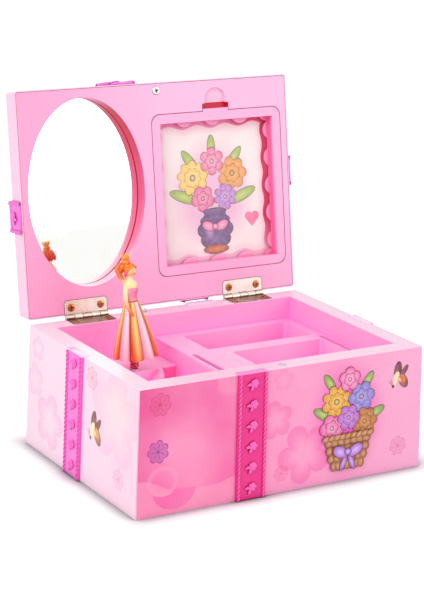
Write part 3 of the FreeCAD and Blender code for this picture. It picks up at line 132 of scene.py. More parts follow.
class Paint:
    """One material: a Principled shader, with the nodes that feed it."""

    def __init__(self, name, **constants):
        self.material = bpy.data.materials.new(name)
        self.material.use_nodes = True
        self.tree = self.material.node_tree
        self.shader = self.tree.nodes["Principled BSDF"]
        for socket, value in constants.items():
            self.set(socket.replace("_", " "), value)

    def set(self, socket, value):
        self.feed(self.shader.inputs[socket], value)

    def feed(self, socket, value):
        if isinstance(value, Value):
            self.tree.links.new(value.socket, socket)
        elif isinstance(value, tuple) and socket.type == "RGBA":
            socket.default_value = (*value, 1)
        else:
            socket.default_value = value

    def node(self, kind, settings, sockets):
        made = self.tree.nodes.new(kind)
        for name, value in settings.items():
            setattr(made, name, value)
        for key, value in sockets.items():
            self.feed(made.inputs[key], value)
        return made

    def maths(self, operation, *values):
        made = self.node("ShaderNodeMath", {"operation": operation}, dict(enumerate(values)))
        return Value(self, made.outputs[0])

    def mix(self, share, first, second):
        """The first colour where share is 0, the second where it is 1."""
        made = self.node("ShaderNodeMix", {"data_type": "RGBA"}, {0: share, 6: first, 7: second})
        return Value(self, made.outputs[2])

    def rise(self, value, low, high):
        """0 below low, 1 above high and a soft step between, or the other way round."""
        made = self.node("ShaderNodeMapRange", {"interpolation_type": "SMOOTHSTEP"},
                         {"Value": value, "From Min": low, "From Max": high})
        return Value(self, made.outputs[0])

    def place(self, origin=(0, 0, 0), turn=(0, 0, 0)):
        """Where a point of the piece is in millimetres, seen from an origin and a turn."""
        made = self.node("ShaderNodeTexCoord", {}, {})
        flat = self.node("ShaderNodeMapping", {"vector_type": "TEXTURE"},
                         {"Vector": Value(self, made.outputs["Object"]), "Location": Vector(origin) * mm,
                          "Rotation": turn, "Scale": (mm, mm, mm)})
        parts = self.node("ShaderNodeSeparateXYZ", {}, {0: Value(self, flat.outputs[0])})
        return [Value(self, parts.outputs[axis]) for axis in range(3)]

    def noise(self, size, detail=2.0, roughness=0.5):
        """Soft mottling whose spots are about the given size in millimetres."""
        made = self.node("ShaderNodeTexCoord", {}, {})
        spots = self.node("ShaderNodeTexNoise", {}, {"Vector": Value(self, made.outputs["Object"]),
                                                     "Scale": 1 / (size * mm), "Detail": detail,
                                                     "Roughness": roughness})
        return Value(self, spots.outputs["Fac"])

    def shut_in(self, reach):
        """0 in the open and 1 deep in a corner or a well, looking as far as reach in millimetres."""
        made = self.node("ShaderNodeAmbientOcclusion", {"samples": 6}, {"Distance": reach * mm})
        return self.rise(Value(self, made.outputs["AO"]), 0.95, 0.25)

    def relief(self, height, depth, edge=0.0):
        """A bump of the given depth in millimetres, over edges softened to the given radius."""
        sockets = {"Height": height, "Strength": 1.0, "Distance": depth * mm}
        if edge:
            soft = self.node("ShaderNodeBevel", {"samples": 4}, {"Radius": edge * mm})
            sockets["Normal"] = Value(self, soft.outputs[0])
        made = self.node("ShaderNodeBump", {}, sockets)
        self.set("Normal", Value(self, made.outputs[0]))


print("shader helpers ready")

# %% [markdown]
# ## Moulded plastic
# The mouldings are glossy, but never perfectly: the colour drifts a little, the gloss varies where
# hands have rubbed it, and the skin has a faint orange-peel. Corners and wells get a deeper colour
# as painted shade, found by Ambient Occlusion, which measures how shut in a point is, and some walls
# get a painted glow, an emission that brightens them as if light came through the thin plastic.
# A Bevel node softens the edges for the light without touching the mesh.

# %% Mouldings
def moulded(name, light, deep, gloss=0.28, edge=0.5, well=None, reach=30):
    """Dyed plastic between two near tints, with a third painted into shut-in places as painted shade."""
    paint = Paint(name, **{"Coat Weight": 0.25, "Coat Roughness": 0.12, "Specular IOR Level": 0.45})
    drift = paint.rise(paint.noise(34, 3), 0.3, 0.7)
    fine = paint.noise(1.1, 2)
    colour = paint.mix(drift * 0.6 + fine * 0.15, light, deep)
    # Painted shade: the third tint deepens the colour where Ambient Occlusion finds a corner or a well.
    if well:
        colour = paint.mix(paint.shut_in(reach), colour, well)
    paint.set("Base Color", colour)
    paint.set("Roughness", gloss + 0.10 * paint.noise(16, 3) + 0.04 * fine)
    paint.relief(fine, 0.02, edge)
    paint.colour = colour
    return paint


def glow(paint, colour, strength):
    """A painted glow: emission that brightens the plastic as if light came through its thin walls."""
    paint.set("Emission Color", colour)
    paint.set("Emission Strength", strength)


def coat(paint, *names):
    """Gives CAD nodes a paint in place of their plain one."""
    for name in names:
        nodes[name].data.materials.clear()
        nodes[name].data.materials.append(paint.material)


# The third tints of the tray and the stage are painted shade for their corners and wells.
tray_plastic = moulded("tray_moulding", tint(255, 196, 232), tint(255, 188, 226), well=tint(255, 146, 218), reach=34)
stage_plastic = moulded("stage_moulding", tint(255, 204, 234), tint(255, 196, 229), well=tint(255, 126, 204), reach=16)
plate_plastic = moulded("bottom_moulding", tint(255, 190, 224), tint(254, 180, 216))
white_plastic = moulded("white_moulding", tint(240, 240, 236), tint(226, 226, 222))
stage_x, stage_y, stage_z = stage_plastic.place()
deck_front, deck_level = 27.5, 52.4
# Painted shade: the deck's fluted front wall is painted deep pink, as if in shadow.
front_wall_shade = stage_plastic.rise(abs(stage_y - deck_front), 1.4, 0.9) * stage_plastic.rise(stage_z, deck_level, deck_level - 0.6)
stage_plastic.colour = stage_plastic.mix(front_wall_shade * 0.7, stage_plastic.colour, tint(252, 64, 146))
stage_plastic.set("Base Color", stage_plastic.colour)
# Painted glow on the tray and the stage.
glow(tray_plastic, tray_plastic.colour, 0.06)
glow(stage_plastic, stage_plastic.colour, 0.16)
coat(tray_plastic, "jewellery_tray")
coat(stage_plastic, "stage_insert")
coat(plate_plastic, "bottom_plate")
coat(white_plastic, "governor_housing", "governor_pinion")

# %% [markdown]
# The base is one moulding. Its flat rim gets a painted highlight, almost white and most of all on the
# left, and its vertical corners a paler painted highlight, while the walls inside keep a deep pink, with
# painted shade deep down and a faint painted glow. The colour follows the height, so no seam is needed.

# %% The base moulding
# The third tint is painted shade deep in the box.
case_plastic = moulded("case_moulding", tint(255, 180, 222), tint(255, 172, 216), well=tint(255, 156, 220), reach=40)
case_x, case_y, case_z = case_plastic.place()
rim_level = 77.5
# Painted highlight: the rim is painted nearly white, most on the left, and the vertical corners paler.
rim_share = case_plastic.rise(case_z, rim_level - 0.6, rim_level - 0.1)
rim_highlight = case_plastic.mix(case_plastic.rise(case_x, -60, -100), tint(255, 214, 237), tint(255, 236, 248))
corner_highlight = case_plastic.rise(abs(case_x), 96.5, 97.5)
wall_colour = case_plastic.mix(corner_highlight, case_plastic.colour, tint(255, 206, 232))
case_plastic.set("Base Color", case_plastic.mix(rim_share, wall_colour, rim_highlight))
outer_share = case_plastic.maths("MAXIMUM", rim_share, corner_highlight)
# Painted glow on the walls, not on the rim or the corners.
glow(case_plastic, case_plastic.mix(outer_share, case_plastic.colour, (0.0, 0.0, 0.0)), 0.07)
coat(case_plastic, "case_shell")
print("base moulding", len(case_plastic.tree.nodes), "nodes")

# %% [markdown]
# ## Modelling by operators
# New pieces are made as by hand: add a primitive, shape it in edit mode, apply modifiers. An
# operator acts on whatever is selected, so each helper starts by deselecting everything. A
# finished piece sits at the origin with its place in its mesh, like the nodes of the solid model.

# %% Helpers for new pieces
def start(add, **sizes):
    """Adds a primitive with nothing else selected, and returns it."""
    bpy.ops.object.select_all(action="DESELECT")
    add(**sizes)
    return bpy.context.object


def pick(*pieces):
    """Selects just these pieces. The first is the active one."""
    bpy.ops.object.select_all(action="DESELECT")
    for piece in pieces:
        piece.select_set(True)
    bpy.context.view_layer.objects.active = pieces[0]
    return pieces[0]


def lay(piece, matrix):
    """Moves a piece by a matrix and writes the move into its mesh."""
    pick(piece)
    piece.matrix_world = matrix @ piece.matrix_basis
    bpy.ops.object.transform_apply(location=True, rotation=True, scale=True)
    return piece


def modify(piece, kind, **settings):
    """Adds a modifier with its settings and applies it."""
    pick(piece)
    bpy.ops.object.modifier_add(type=kind)
    modifier = piece.modifiers[-1]
    for name, value in settings.items():
        setattr(modifier, name, value)
    bpy.ops.object.modifier_apply(modifier=modifier.name)
    return piece


def edit(piece, action, chosen=None):
    """Runs one action in edit mode on the whole piece, or on the chosen faces, edges or vertices."""
    pick(piece)
    bpy.ops.object.mode_set(mode="EDIT")
    bpy.ops.mesh.select_mode(type=chosen[0] if chosen else "VERT")
    bpy.ops.mesh.select_all(action="DESELECT" if chosen else "SELECT")
    if chosen:
        bpy.ops.object.mode_set(mode="OBJECT")
        for item in chosen[1](piece.data):
            item.select = True
        bpy.ops.object.mode_set(mode="EDIT")
    action()
    bpy.ops.object.mode_set(mode="OBJECT")
    return piece


def twin(piece):
    """A copy of a piece with its own mesh."""
    pick(piece)
    bpy.ops.object.duplicate(linked=False)
    return bpy.context.object


def weld(*pieces):
    """Joins pieces into the first one."""
    pick(*pieces)
    bpy.ops.object.join()
    return bpy.context.object


def outward(piece):
    """Closes seams and turns all faces outwards."""
    edit(piece, lambda: bpy.ops.mesh.remove_doubles(threshold=1e-6))
    edit(piece, lambda: bpy.ops.mesh.normals_make_consistent(inside=False))
    return piece


def finish(piece, name, body, paint, stands_for=(), angle=35):
    """Names a piece, smooths and paints it, and fixes it to its body."""
    pick(piece)
    bpy.ops.object.shade_smooth_by_angle(angle=math.radians(angle))
    piece.name = name
    piece.data.name = name
    if paint:
        piece.data.materials.clear()
        piece.data.materials.append(paint.material)
    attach(piece, body)
    if stands_for:
        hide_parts(*stands_for)
    print(name, len(piece.data.polygons), "faces")
    return piece


def ink(piece, colour_at, name="ink"):
    """Stores a colour on each vertex, worked out from where it is."""
    layer = piece.data.color_attributes.new(name, "FLOAT_COLOR", "POINT")
    for vertex in piece.data.vertices:
        layer.data[vertex.index].color = (*colour_at(vertex.co), 1)
    return piece


print("modelling helpers ready")

# %% [markdown]
# ## Prints
# The base is covered by a printed film: soft flowers, small line flowers, butterflies and a posy.
# A picture file would be the quick way, but a drawing made of nodes stays sharp at any size and
# needs no file. Each face first gets flat coordinates in millimetres, u to the right and v up as
# seen from outside. On these, a blot is an ellipse and a flower is a circle whose radius swells.

# %% Drawing on a flat face
class Print:
    """Flat coordinates on one face of the box, and the shapes that can be drawn there."""

    far = 1e6

    def __init__(self, paint, turn):
        self.paint = paint
        made = paint.node("ShaderNodeTexCoord", {}, {})
        flat = paint.node("ShaderNodeMapping", {"vector_type": "TEXTURE"},
                          {"Vector": Value(paint, made.outputs["Object"]),
                           "Rotation": (0, 0, turn), "Scale": (mm, mm, mm)})
        self.flat = Value(paint, flat.outputs[0])
        parts = paint.node("ShaderNodeSeparateXYZ", {}, {0: self.flat})
        self.u = Value(paint, parts.outputs["X"])
        self.v = Value(paint, parts.outputs["Z"])

    def local(self, centre, halves, turn):
        """Coordinates about a centre, in which the ellipse with these half sizes is a unit circle."""
        made = self.paint.node("ShaderNodeMapping", {"vector_type": "TEXTURE"},
                               {"Vector": self.flat, "Location": (centre[0], 0, centre[1]),
                                "Rotation": (0, -math.radians(turn), 0),
                                "Scale": (halves[0], self.far, halves[1])})
        return Value(self.paint, made.outputs[0])

    def blot(self, centre, halves, turn=0):
        """How far out a point is: 0 at the ellipse's centre, 1 on its edge."""
        made = self.paint.node("ShaderNodeVectorMath", {"operation": "LENGTH"},
                               {0: self.local(centre, halves, turn)})
        return Value(self.paint, made.outputs["Value"])

    def flower(self, centre, radius, petals, turn=0, notch=0.35):
        """How far out a point is of a flower: 1 on the edge of its petals."""
        here = self.local(centre, (radius, radius), turn)
        made = self.paint.node("ShaderNodeVectorMath", {"operation": "LENGTH"}, {0: here})
        parts = self.paint.node("ShaderNodeSeparateXYZ", {}, {0: here})
        angle = self.paint.maths("ARCTAN2", Value(self.paint, parts.outputs["Z"]),
                                 Value(self.paint, parts.outputs["X"]))
        swell = abs(self.paint.maths("COSINE", angle * (petals / 2)))
        return Value(self.paint, made.outputs["Value"]) / (1 - notch + notch * swell ** 0.6), swell


print("print helpers ready")

# %% [markdown]
# Two kinds of flower repeat over the box. The large soft ones are hardly darker than the film, and
# most so along their edges. The small ones are a thin line with a star of veins.

# %% Flowers for the film
def soft_flower(film, under, centre, radius, colour, turn=90, strength=0.6):
    far_out, swell = film.flower(centre, radius, 5, turn, 0.42)
    edge = film.paint.rise(far_out, 0.25, 0.97) * film.paint.rise(far_out, 1.05, 0.97)
    return film.paint.mix(edge * strength, under, colour)


def line_flower(film, under, centre, radius, colour, tone=0.35, turn=90, body_tone=0.45):
    far_out, swell = film.flower(centre, radius, 7, turn, 0.3)
    body = film.paint.rise(far_out, 1.04, 0.98)
    ring = film.paint.rise(far_out, 0.84, 0.93)
    veins = film.paint.rise(swell, 0.8, 0.97) * film.paint.rise(far_out, 0.75, 0.5)
    eye = film.paint.rise(far_out, 0.2, 0.13)
    share = body * (body_tone + ring * 0.7 + veins * 0.6 + eye) * tone
    return film.paint.mix(share, under, colour)


print("film flowers ready")

# %% [markdown]
# The film is one thin sheet on each face, cut a little short of the corners and the rim. The front
# has the strongest colour: a deep wave on the left and a glow on the right. Each sheet has a
# material of its own, because one material that draws on all the faces would be too long to run.

# %% The faces of the base
base_low, base_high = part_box("case_shell")
base_half_x, base_half_y, base_top = base_high.x / mm, base_high.y / mm, base_high.z / mm
side_draft = 1.6
corner_radius = 1.0
film_gauge = 0.06
film_margin = 0.4
film_edge = 0.35
side_turns = {"front": 0, "right": 90, "rear": 180, "left": -90}


def face_place(side):
    """Takes flat coordinates, u right, v up and the third outwards, to a face of the base."""
    half = base_half_y if side in ("front", "rear") else base_half_x
    lean = math.atan2(side_draft, base_top)
    return (Matrix.Rotation(math.radians(side_turns[side]), 4, "Z") @ Matrix.Translation((0, -half * mm, 0))
            @ Matrix.Rotation(math.pi / 2 - lean, 4, "X"))


def film_sheet(side, paint):
    """A printed sheet on one face, narrower at the top as the face is."""
    half = base_half_x if side in ("front", "rear") else base_half_y
    reach = half - film_edge
    sheet = start(bpy.ops.mesh.primitive_cube_add, size=1)
    tall = base_top - 2 * film_margin
    lay(sheet, Matrix.Translation((0, base_top / 2 * mm, film_gauge / 2 * mm))
        @ Matrix.Diagonal((2 * reach * mm, tall * mm, film_gauge * mm, 1)))
    top = ("VERT", lambda mesh: [v for v in mesh.vertices if v.co.y > base_top / 2 * mm])
    edit(sheet, lambda: bpy.ops.transform.resize(value=(1 - side_draft / reach, 1, 1)), top)
    lay(sheet, face_place(side))
    return finish(sheet, "film_" + side, "base", paint)


def film_paint(name, draw, side):
    """Glossy printed film. The drawing gives its colour."""
    paint = Paint(name, **{"Coat Weight": 0.35, "Coat Roughness": 0.1, "Specular IOR Level": 0.45})
    film = Print(paint, math.radians(side_turns[side]))
    skin = paint.noise(16, 3)
    paint.set("Base Color", draw(film, paint.rise(paint.noise(26, 3), 0.3, 0.7)))
    paint.set("Roughness", 0.24 + 0.12 * skin)
    paint.relief(paint.noise(1.1, 2), 0.015)
    return paint


def front_print(film, mottle):
    paint, u, v = film.paint, film.u, film.v
    colour = paint.mix(paint.rise(u, -103, -80), tint(240, 92, 158), tint(246, 110, 172))
    pale = paint.rise(film.blot((-66, 36), (27, 38), 20), 1.0, 0.2)
    colour = paint.mix(pale * 0.85, colour, tint(253, 146, 190))
    deep = paint.rise(u, -40, -96) * paint.rise(v, 40, 76)
    colour = paint.mix(deep * 0.8, colour, tint(236, 70, 144))
    hill = v - 13 - 9.5 * paint.rise(u, -70, -98) - 3 * paint.rise(u, -48, -34)
    corner = paint.rise(u, -47.6, -46.6) * paint.rise(v - 3 * paint.rise(u, -40, -48), 64, 69) * 0.75
    band_pale = paint.maths("MAXIMUM", paint.rise(hill, 0.7, -0.5), corner)
    colour = paint.mix(band_pale * 0.7, colour, tint(254, 150, 190))
    moon = paint.rise(film.blot((-75, 15.3), (14.9, 13)), 1, 0.95)
    hollow = film.blot((-82.6, 20.6), (10.6, 9.4))
    colour = paint.mix(moon * paint.rise(hill, 3, 0) * paint.rise(hollow, 0.95, 1) * 0.9, colour, tint(249, 92, 170))
    halo = paint.rise(hollow, 1, 0.94) * paint.rise(hollow, 0.55, 0.9)
    colour = paint.mix(halo * 0.4, colour, tint(254, 160, 198))
    right_part = paint.mix(paint.rise(u, 20, 96), tint(253, 154, 199), tint(252, 170, 210))
    colour = paint.mix(paint.rise(u, -26, -22), colour, right_part)
    colour = paint.mix(mottle * 0.18, colour, tint(255, 190, 218))
    around = film.blot((44, 41), (31, 42))
    colour = paint.mix(paint.rise(around, 1.0, 0.3) * 0.95, colour, tint(246, 92, 190))
    colour = soft_flower(film, colour, (-7, 46), 12, tint(246, 108, 174), 100)
    colour = soft_flower(film, colour, (14, 22), 19, tint(246, 104, 176), 116)
    colour = soft_flower(film, colour, (-2, 70), 7, tint(248, 125, 180), 90, 0.4)
    colour = line_flower(film, colour, (-85, 67), 7.2, tint(206, 34, 100), 0.42)
    colour = line_flower(film, colour, (-86, 39), 7.2, tint(166, 56, 158), 0.55, 80, 0.9)
    colour = line_flower(film, colour, (-2, 12), 5.2, tint(236, 84, 150), 0.45)
    return line_flower(film, colour, (83, 16), 6.2, tint(214, 84, 140), 0.42)


def end_print(film, mottle):
    """The pale print of the two ends."""
    paint, u, v = film.paint, film.u, film.v
    colour = paint.mix(paint.rise(u, -10, 70), tint(254, 221, 239), tint(254, 210, 230))
    colour = paint.mix(mottle * 0.3, colour, tint(255, 228, 238))
    warm = film.blot((46, 56), (26, 34))
    colour = paint.mix(paint.rise(warm, 1, 0.2) * 0.55, colour, tint(254, 226, 224))
    colour = soft_flower(film, colour, (-40, 24), 18, tint(244, 178, 220), 75, 0.5)
    colour = soft_flower(film, colour, (-61, 45), 11, tint(246, 184, 224), 100, 0.45)
    colour = soft_flower(film, colour, (-58, 66), 8, tint(240, 180, 226), 90, 0.45)
    colour = soft_flower(film, colour, (44, 52), 30, tint(248, 192, 222), 85, 0.45)
    colour = line_flower(film, colour, (50, 17), 6.4, tint(222, 130, 190), 0.4)
    return line_flower(film, colour, (14, 68), 7.0, tint(226, 110, 150), 0.42)


def rear_print(film, mottle):
    paint, u = film.paint, film.u
    colour = paint.mix(paint.rise(u, -90, 90), tint(254, 176, 212), tint(249, 146, 192))
    colour = paint.mix(mottle * 0.22, colour, tint(255, 190, 218))
    colour = soft_flower(film, colour, (52, 46), 19, tint(247, 120, 178), 70)
    colour = soft_flower(film, colour, (-62, 30), 17, tint(248, 124, 182), 95)
    colour = line_flower(film, colour, (84, 66), 7, tint(190, 30, 96), 0.4)
    return line_flower(film, colour, (-20, 60), 6, tint(214, 84, 140), 0.4)


for side, draw in (("front", front_print), ("right", end_print), ("rear", rear_print), ("left", end_print)):
    film_sheet(side, film_paint("printed_film_" + side, draw, side))

# %% [markdown]
# ## Transfers
# The posy and the butterflies have clear outlines, so they are made as transfers: flat shapes laid
# over each other like layers of ink, each a hair higher than the last. Every shape starts as a
# filled circle. Its rim is pushed in between the petals, and a colour is stored on its vertices.

# %% A transfer made of inked shapes
line_ink = tint(120, 40, 50)


class Transfer:
    """Flat inked shapes, gathered into one piece."""

    layer = 0.008

    def __init__(self):
        self.shapes = []

    def shape(self, centre, halves, heart, rim, turn=0, petals=0, notch=0.3):
        """One shape, shaded from its heart to its rim."""
        made = start(bpy.ops.mesh.primitive_circle_add, vertices=48, radius=1, fill_type="TRIFAN")
        for vertex in made.data.vertices:
            angle = math.atan2(vertex.co.y, vertex.co.x)
            if petals:
                vertex.co *= 1 - notch + notch * abs(math.cos(angle * petals / 2)) ** 0.6
        ink(made, lambda at: rim if at.length > 0.1 else heart)
        height = self.layer * (len(self.shapes) + 1)
        lay(made, Matrix.Translation((centre[0] * mm, centre[1] * mm, height * mm))
            @ Matrix.Rotation(math.radians(turn), 4, "Z") @ Matrix.Diagonal((halves[0] * mm, halves[1] * mm, 1, 1)))
        self.shapes.append(made)

    def lined(self, centre, halves, heart, rim, line, width=0.4, **form):
        """A shape with a thin line round it."""
        self.shape(centre, (halves[0] + width, halves[1] + width), line, line, **form)
        self.shape(centre, halves, heart, rim, **form)

    def blossom(self, centre, radius, petals, heart, rim, turn=0):
        """A round blossom: petals in a ring, a smaller ring over them and an eye."""
        self.lined(centre, (radius, radius), heart, rim, line_ink, turn=turn, petals=petals)
        inner = radius * 0.56
        self.lined(centre, (inner, inner), heart, rim, line_ink, 0.3, turn=turn + 180 / petals, petals=petals, notch=0.25)
        self.shape(centre, (radius * 0.2, radius * 0.2), heart, line_ink)

    def butterfly(self, centre, size, turn, wing, rim, line):
        """Two pairs of wings, a body and feelers, flying towards the turn."""
        for side in (1, -1):
            self.lined(along(centre, 0.42 * size, turn + side * 128), (0.36 * size, 0.22 * size), tint(252, 226, 214),
                       wing, line, turn=turn + side * 118)
            self.lined(along(centre, 0.56 * size, turn + side * 55), (0.56 * size, 0.27 * size), wing, rim, line,
                       turn=turn + side * 62)
            self.shape(along(centre, 0.82 * size, turn + side * 60), (0.12 * size, 0.08 * size), tint(250, 214, 236),
                       wing, turn=turn)
            self.shape(along(centre, 0.66 * size, turn + side * 14), (0.3 * size, 0.03 * size), line, line,
                       turn=turn + side * 17)
        self.shape(centre, (0.44 * size, 0.1 * size), tint(220, 170, 140), line, turn=turn)

    def resting_butterfly(self, centre, dark, warm, pale, size=1.0):
        """A butterfly seen from its side, its head low on the left and its wings folded back."""
        brown = tint(158, 70, 62)
        for place, halves, turn, heart, rim in (((3.6, 2.4), (4.9, 1.9), 52, brown, dark), ((3.4, -3.4), (5.2, 3.1), -58, warm, dark),
                                                ((2.1, -1.6), (3.6, 2.2), -40, warm, warm), ((-0.9, 3.4), (5.9, 2.9), 82, brown, dark),
                                                ((-1.8, -0.6), (3.6, 2.1), 72, pale, pale), ((0.6, -2.4), (2.4, 1.3), -50, pale, warm),
                                                ((-2.5, -3.2), (3.8, 1.4), 64, pale, pale), ((-4.0, -6.2), (1.1, 0.9), 66, dark, dark),
                                                ((-6.0, -4.2), (2.6, 0.14), 130, dark, dark), ((-5.0, -3.6), (2.6, 0.14), 110, dark, dark)):
            spot = (centre[0] + size * place[0], centre[1] + size * place[1])
            self.shape(spot, (size * halves[0], size * halves[1]), heart, rim, turn=turn)

    def press(self, name, place, body, paint):
        """Joins the shapes and lays them on their face."""
        made = weld(*self.shapes)
        lay(made, place)
        return finish(made, name, body, paint)


def along(centre, distance, turn):
    """A point at a distance from a centre, in the direction of an angle in degrees."""
    angle = math.radians(turn)
    return centre[0] + distance * math.cos(angle), centre[1] + distance * math.sin(angle)


def ink_paint(name):
    """Printing ink: the colour stored on the vertices, a little uneven."""
    paint = Paint(name, **{"Coat Weight": 0.3, "Coat Roughness": 0.1, "Specular IOR Level": 0.4})
    made = paint.node("ShaderNodeVertexColor", {"layer_name": "ink"}, {})
    colour = Value(paint, made.outputs["Color"])
    spots = paint.rise(paint.noise(3, 3), 0.35, 0.75)
    paint.set("Base Color", paint.mix(spots * 0.12, colour, tint(255, 240, 240)))
    paint.set("Roughness", 0.28 + 0.1 * paint.noise(9, 2))
    return paint


print("transfers ready")

# %% [markdown]
# The posy stands in a basket on the right of the front, with a bow on the basket's side. Leaves go
# down first, then the handle, the flowers, the basket and the bow.

# %% Posy and butterflies
inks = ink_paint("printing_ink")
on_film = Matrix.Translation((0, 0, film_gauge * mm))


def posy():
    drawn = Transfer()
    for centre, halves, turn in (((27, 44), (8, 3), 150), ((64, 40), (8, 3), 25), ((31, 63), (7, 2.6), 125),
                                 ((58, 61), (7, 2.6), 55)):
        drawn.lined(centre, halves, tint(196, 214, 120), tint(120, 150, 60), line_ink, turn=turn)
    for number in range(15):
        angle = math.pi * number / 14
        spot = (45 + 13.5 * math.cos(angle), 25 + 27 * math.sin(angle))
        drawn.lined(spot, (2.7, 1.2), tint(196, 130, 66), tint(150, 84, 34), line_ink, 0.3, turn=math.degrees(angle) + 70)
    drawn.blossom((36, 51), 10.5, 8, tint(255, 226, 96), tint(226, 150, 30), 20)
    drawn.blossom((54, 52), 9.5, 6, tint(205, 190, 250), tint(126, 116, 206), 5)
    drawn.blossom((45, 64), 7.5, 5, tint(255, 214, 236), tint(244, 96, 172), 90)
    drawn.blossom((33, 35), 8.5, 5, tint(255, 196, 226), tint(238, 84, 164), 40)
    drawn.blossom((57, 36), 9.0, 7, tint(240, 180, 90), tint(176, 98, 30))
    drawn.blossom((45, 40), 8.0, 6, tint(232, 180, 245), tint(178, 90, 200), 60)
    for row, width in enumerate((15.4, 14.6, 13.2, 11.2)):
        level = 25.4 - 5 * row
        for weave in range(7):
            spot = (45 + width * (weave - 3) / 3.4, level)
            drawn.lined(spot, (width / 5.2, 2.9), tint(222, 160, 92), tint(150, 84, 34), line_ink, 0.25)
    for weave in range(9):
        drawn.lined((45 + 4 * (weave - 4), 28.6), (2.7, 1.7), tint(230, 172, 104), tint(160, 92, 40), line_ink, 0.25, turn=24)
    for side in (1, -1):
        drawn.lined((45 + side * 3, 12), (1.7, 5.2), tint(214, 170, 244), tint(160, 88, 198), line_ink, turn=side * 22)
        drawn.lined((45 + side * 5.6, 19), (5.4, 3.4), tint(226, 190, 250), tint(170, 96, 206), line_ink, turn=side * 24)
    drawn.lined((45, 18.6), (2.3, 2.1), tint(230, 196, 250), tint(150, 80, 190), line_ink)
    return drawn.press("front_posy", face_place("front") @ on_film, "base", inks)


def lone_butterfly(name, side, centre, size, *colours):
    drawn = Transfer()
    drawn.resting_butterfly(centre, *colours, size)
    return drawn.press(name, face_place(side) @ on_film, "base", inks)


posy()
lone_butterfly("front_butterfly", "front", (81.5, 61), 1.0, tint(92, 40, 76), tint(226, 110, 52), tint(250, 222, 186))
lone_butterfly("left_butterfly", "left", (19, 38.5), 1.15, tint(120, 74, 66), tint(232, 172, 84), tint(255, 240, 196))

# %% [markdown]
# ## Moulded ribbons
# A plastic ribbon with roses runs up each side of the base and over the lid. Each is a shallow tray
# between two twisted ropes. The ropes could be a bump in the material, but their outline shows, so
# they are real: a small circle off the axis, swept up and round by a Screw modifier.

# %% A rope of three strands
ribbon_width = 20.0
ribbon_gauge = 1.6
ribbon_foot = 0.4
rope_radius = 1.36
rope_twist = 8.4
rope_steps = 14


def rope(length):
    """Three strands twisted round each other, along the flat v axis from 0."""
    strands = []
    for turn in (0, 120, 240):
        off_x, off_y = along((0, 0), 0.48 * rope_radius, turn)
        strand = start(bpy.ops.mesh.primitive_circle_add, vertices=8, radius=0.52 * rope_radius * mm,
                       location=(off_x * mm, off_y * mm, 0))
        lay(strand, Matrix())
        turns = length / rope_twist
        modify(strand, "SCREW", angle=2 * math.pi * turns, screw_offset=length * mm, iterations=1,
               steps=round(turns * rope_steps), render_steps=round(turns * rope_steps))
        edit(strand, lambda: bpy.ops.mesh.fill_holes(sides=0))
        strands.append(outward(strand))
    return lay(weld(*strands), Matrix.Rotation(-math.pi / 2, 4, "X"))


print("rope ready")

# %% [markdown]
# One rose is modelled and then copied. Five petals lie in a ring, three stand over them round a bud,
# and two pointed leaves show below on the left. A petal is a ball pressed flat and tipped outwards.

# %% A rose with leaves
def ball(place, halves, tip=0, turn=0, segments=10):
    """A ball pressed to three half sizes, tipped about its own width and turned about the upright."""
    made = start(bpy.ops.mesh.primitive_uv_sphere_add, segments=segments, ring_count=segments // 2 + 1, radius=1)
    return lay(made, Matrix.Translation(Vector(place) * mm) @ Matrix.Rotation(math.radians(turn), 4, "Z")
               @ Matrix.Rotation(math.radians(tip), 4, "Y") @ Matrix.Diagonal((*(half * mm for half in halves), 1)))


def ring(count, radius, height, halves, tip, first=0):
    """Petals in a ring."""
    made = []
    for number in range(count):
        turn = first + 360 * number / count
        x, y = along((0, 0), radius, turn)
        made.append(ball((x, y, height), halves, tip, turn))
    return made


def leaf(turn):
    """A pointed leaf with a fold along its middle, that grows out of the rose in one direction."""
    made = start(bpy.ops.mesh.primitive_uv_sphere_add, segments=8, ring_count=7, radius=1)
    for vertex in made.data.vertices:
        vertex.co.y *= 1 - 0.75 * max(0.0, vertex.co.x)
        vertex.co.z -= 0.6 * (1 - abs(vertex.co.y))
    x, y = along((0, 0), 3.5, turn)
    return lay(made, Matrix.Translation((x * mm, y * mm, 0.75 * mm)) @ Matrix.Rotation(math.radians(turn), 4, "Z")
               @ Matrix.Diagonal((2.0 * mm, 1.1 * mm, 0.7 * mm, 1)))


def rose():
    petals = ring(5, 1.3, 0.45, (1.6, 1.6, 0.75), -12)
    petals += ring(3, 0.7, 0.95, (1.35, 1.3, 0.6), -18, 30)
    petals.append(ball((0, 0, 1.2), (1.0, 1.0, 0.5)))
    made = weld(*petals, leaf(186), leaf(238))
    return lay(made, Matrix.Translation((0.8 * mm, 0.7 * mm, 0)))


rose_pattern = rose()
print("rose", len(rose_pattern.data.polygons), "faces")

# %% [markdown]
# A run of ribbon is put together flat and then laid on its face by a matrix. The band is a box whose
# top is inset and sunk. The lid's runs lean, because each goes from one edge to a place further
# along on the edge opposite, so a flat run can also be sheared.

# %% A run of ribbon
def box(low, high):
    """A box between two corners."""
    made = start(bpy.ops.mesh.primitive_cube_add, size=1)
    centre = [(a + b) / 2 * mm for a, b in zip(low, high)]
    spans = [(b - a) * mm for a, b in zip(low, high)]
    return lay(made, Matrix.Translation(centre) @ Matrix.Diagonal((*spans, 1)))


def band(length):
    """The flat band, with its middle sunk between two borders."""
    made = box((-ribbon_width / 2, 0, 0), (ribbon_width / 2, length, ribbon_gauge))
    top = ("FACE", lambda mesh: [face for face in mesh.polygons if face.normal.z > 0.9])
    edit(made, lambda: bpy.ops.mesh.inset(thickness=2.9 * mm, depth=-0.3 * mm), top)
    return modify(made, "BEVEL", width=0.2 * mm, segments=2, limit_method="ANGLE")


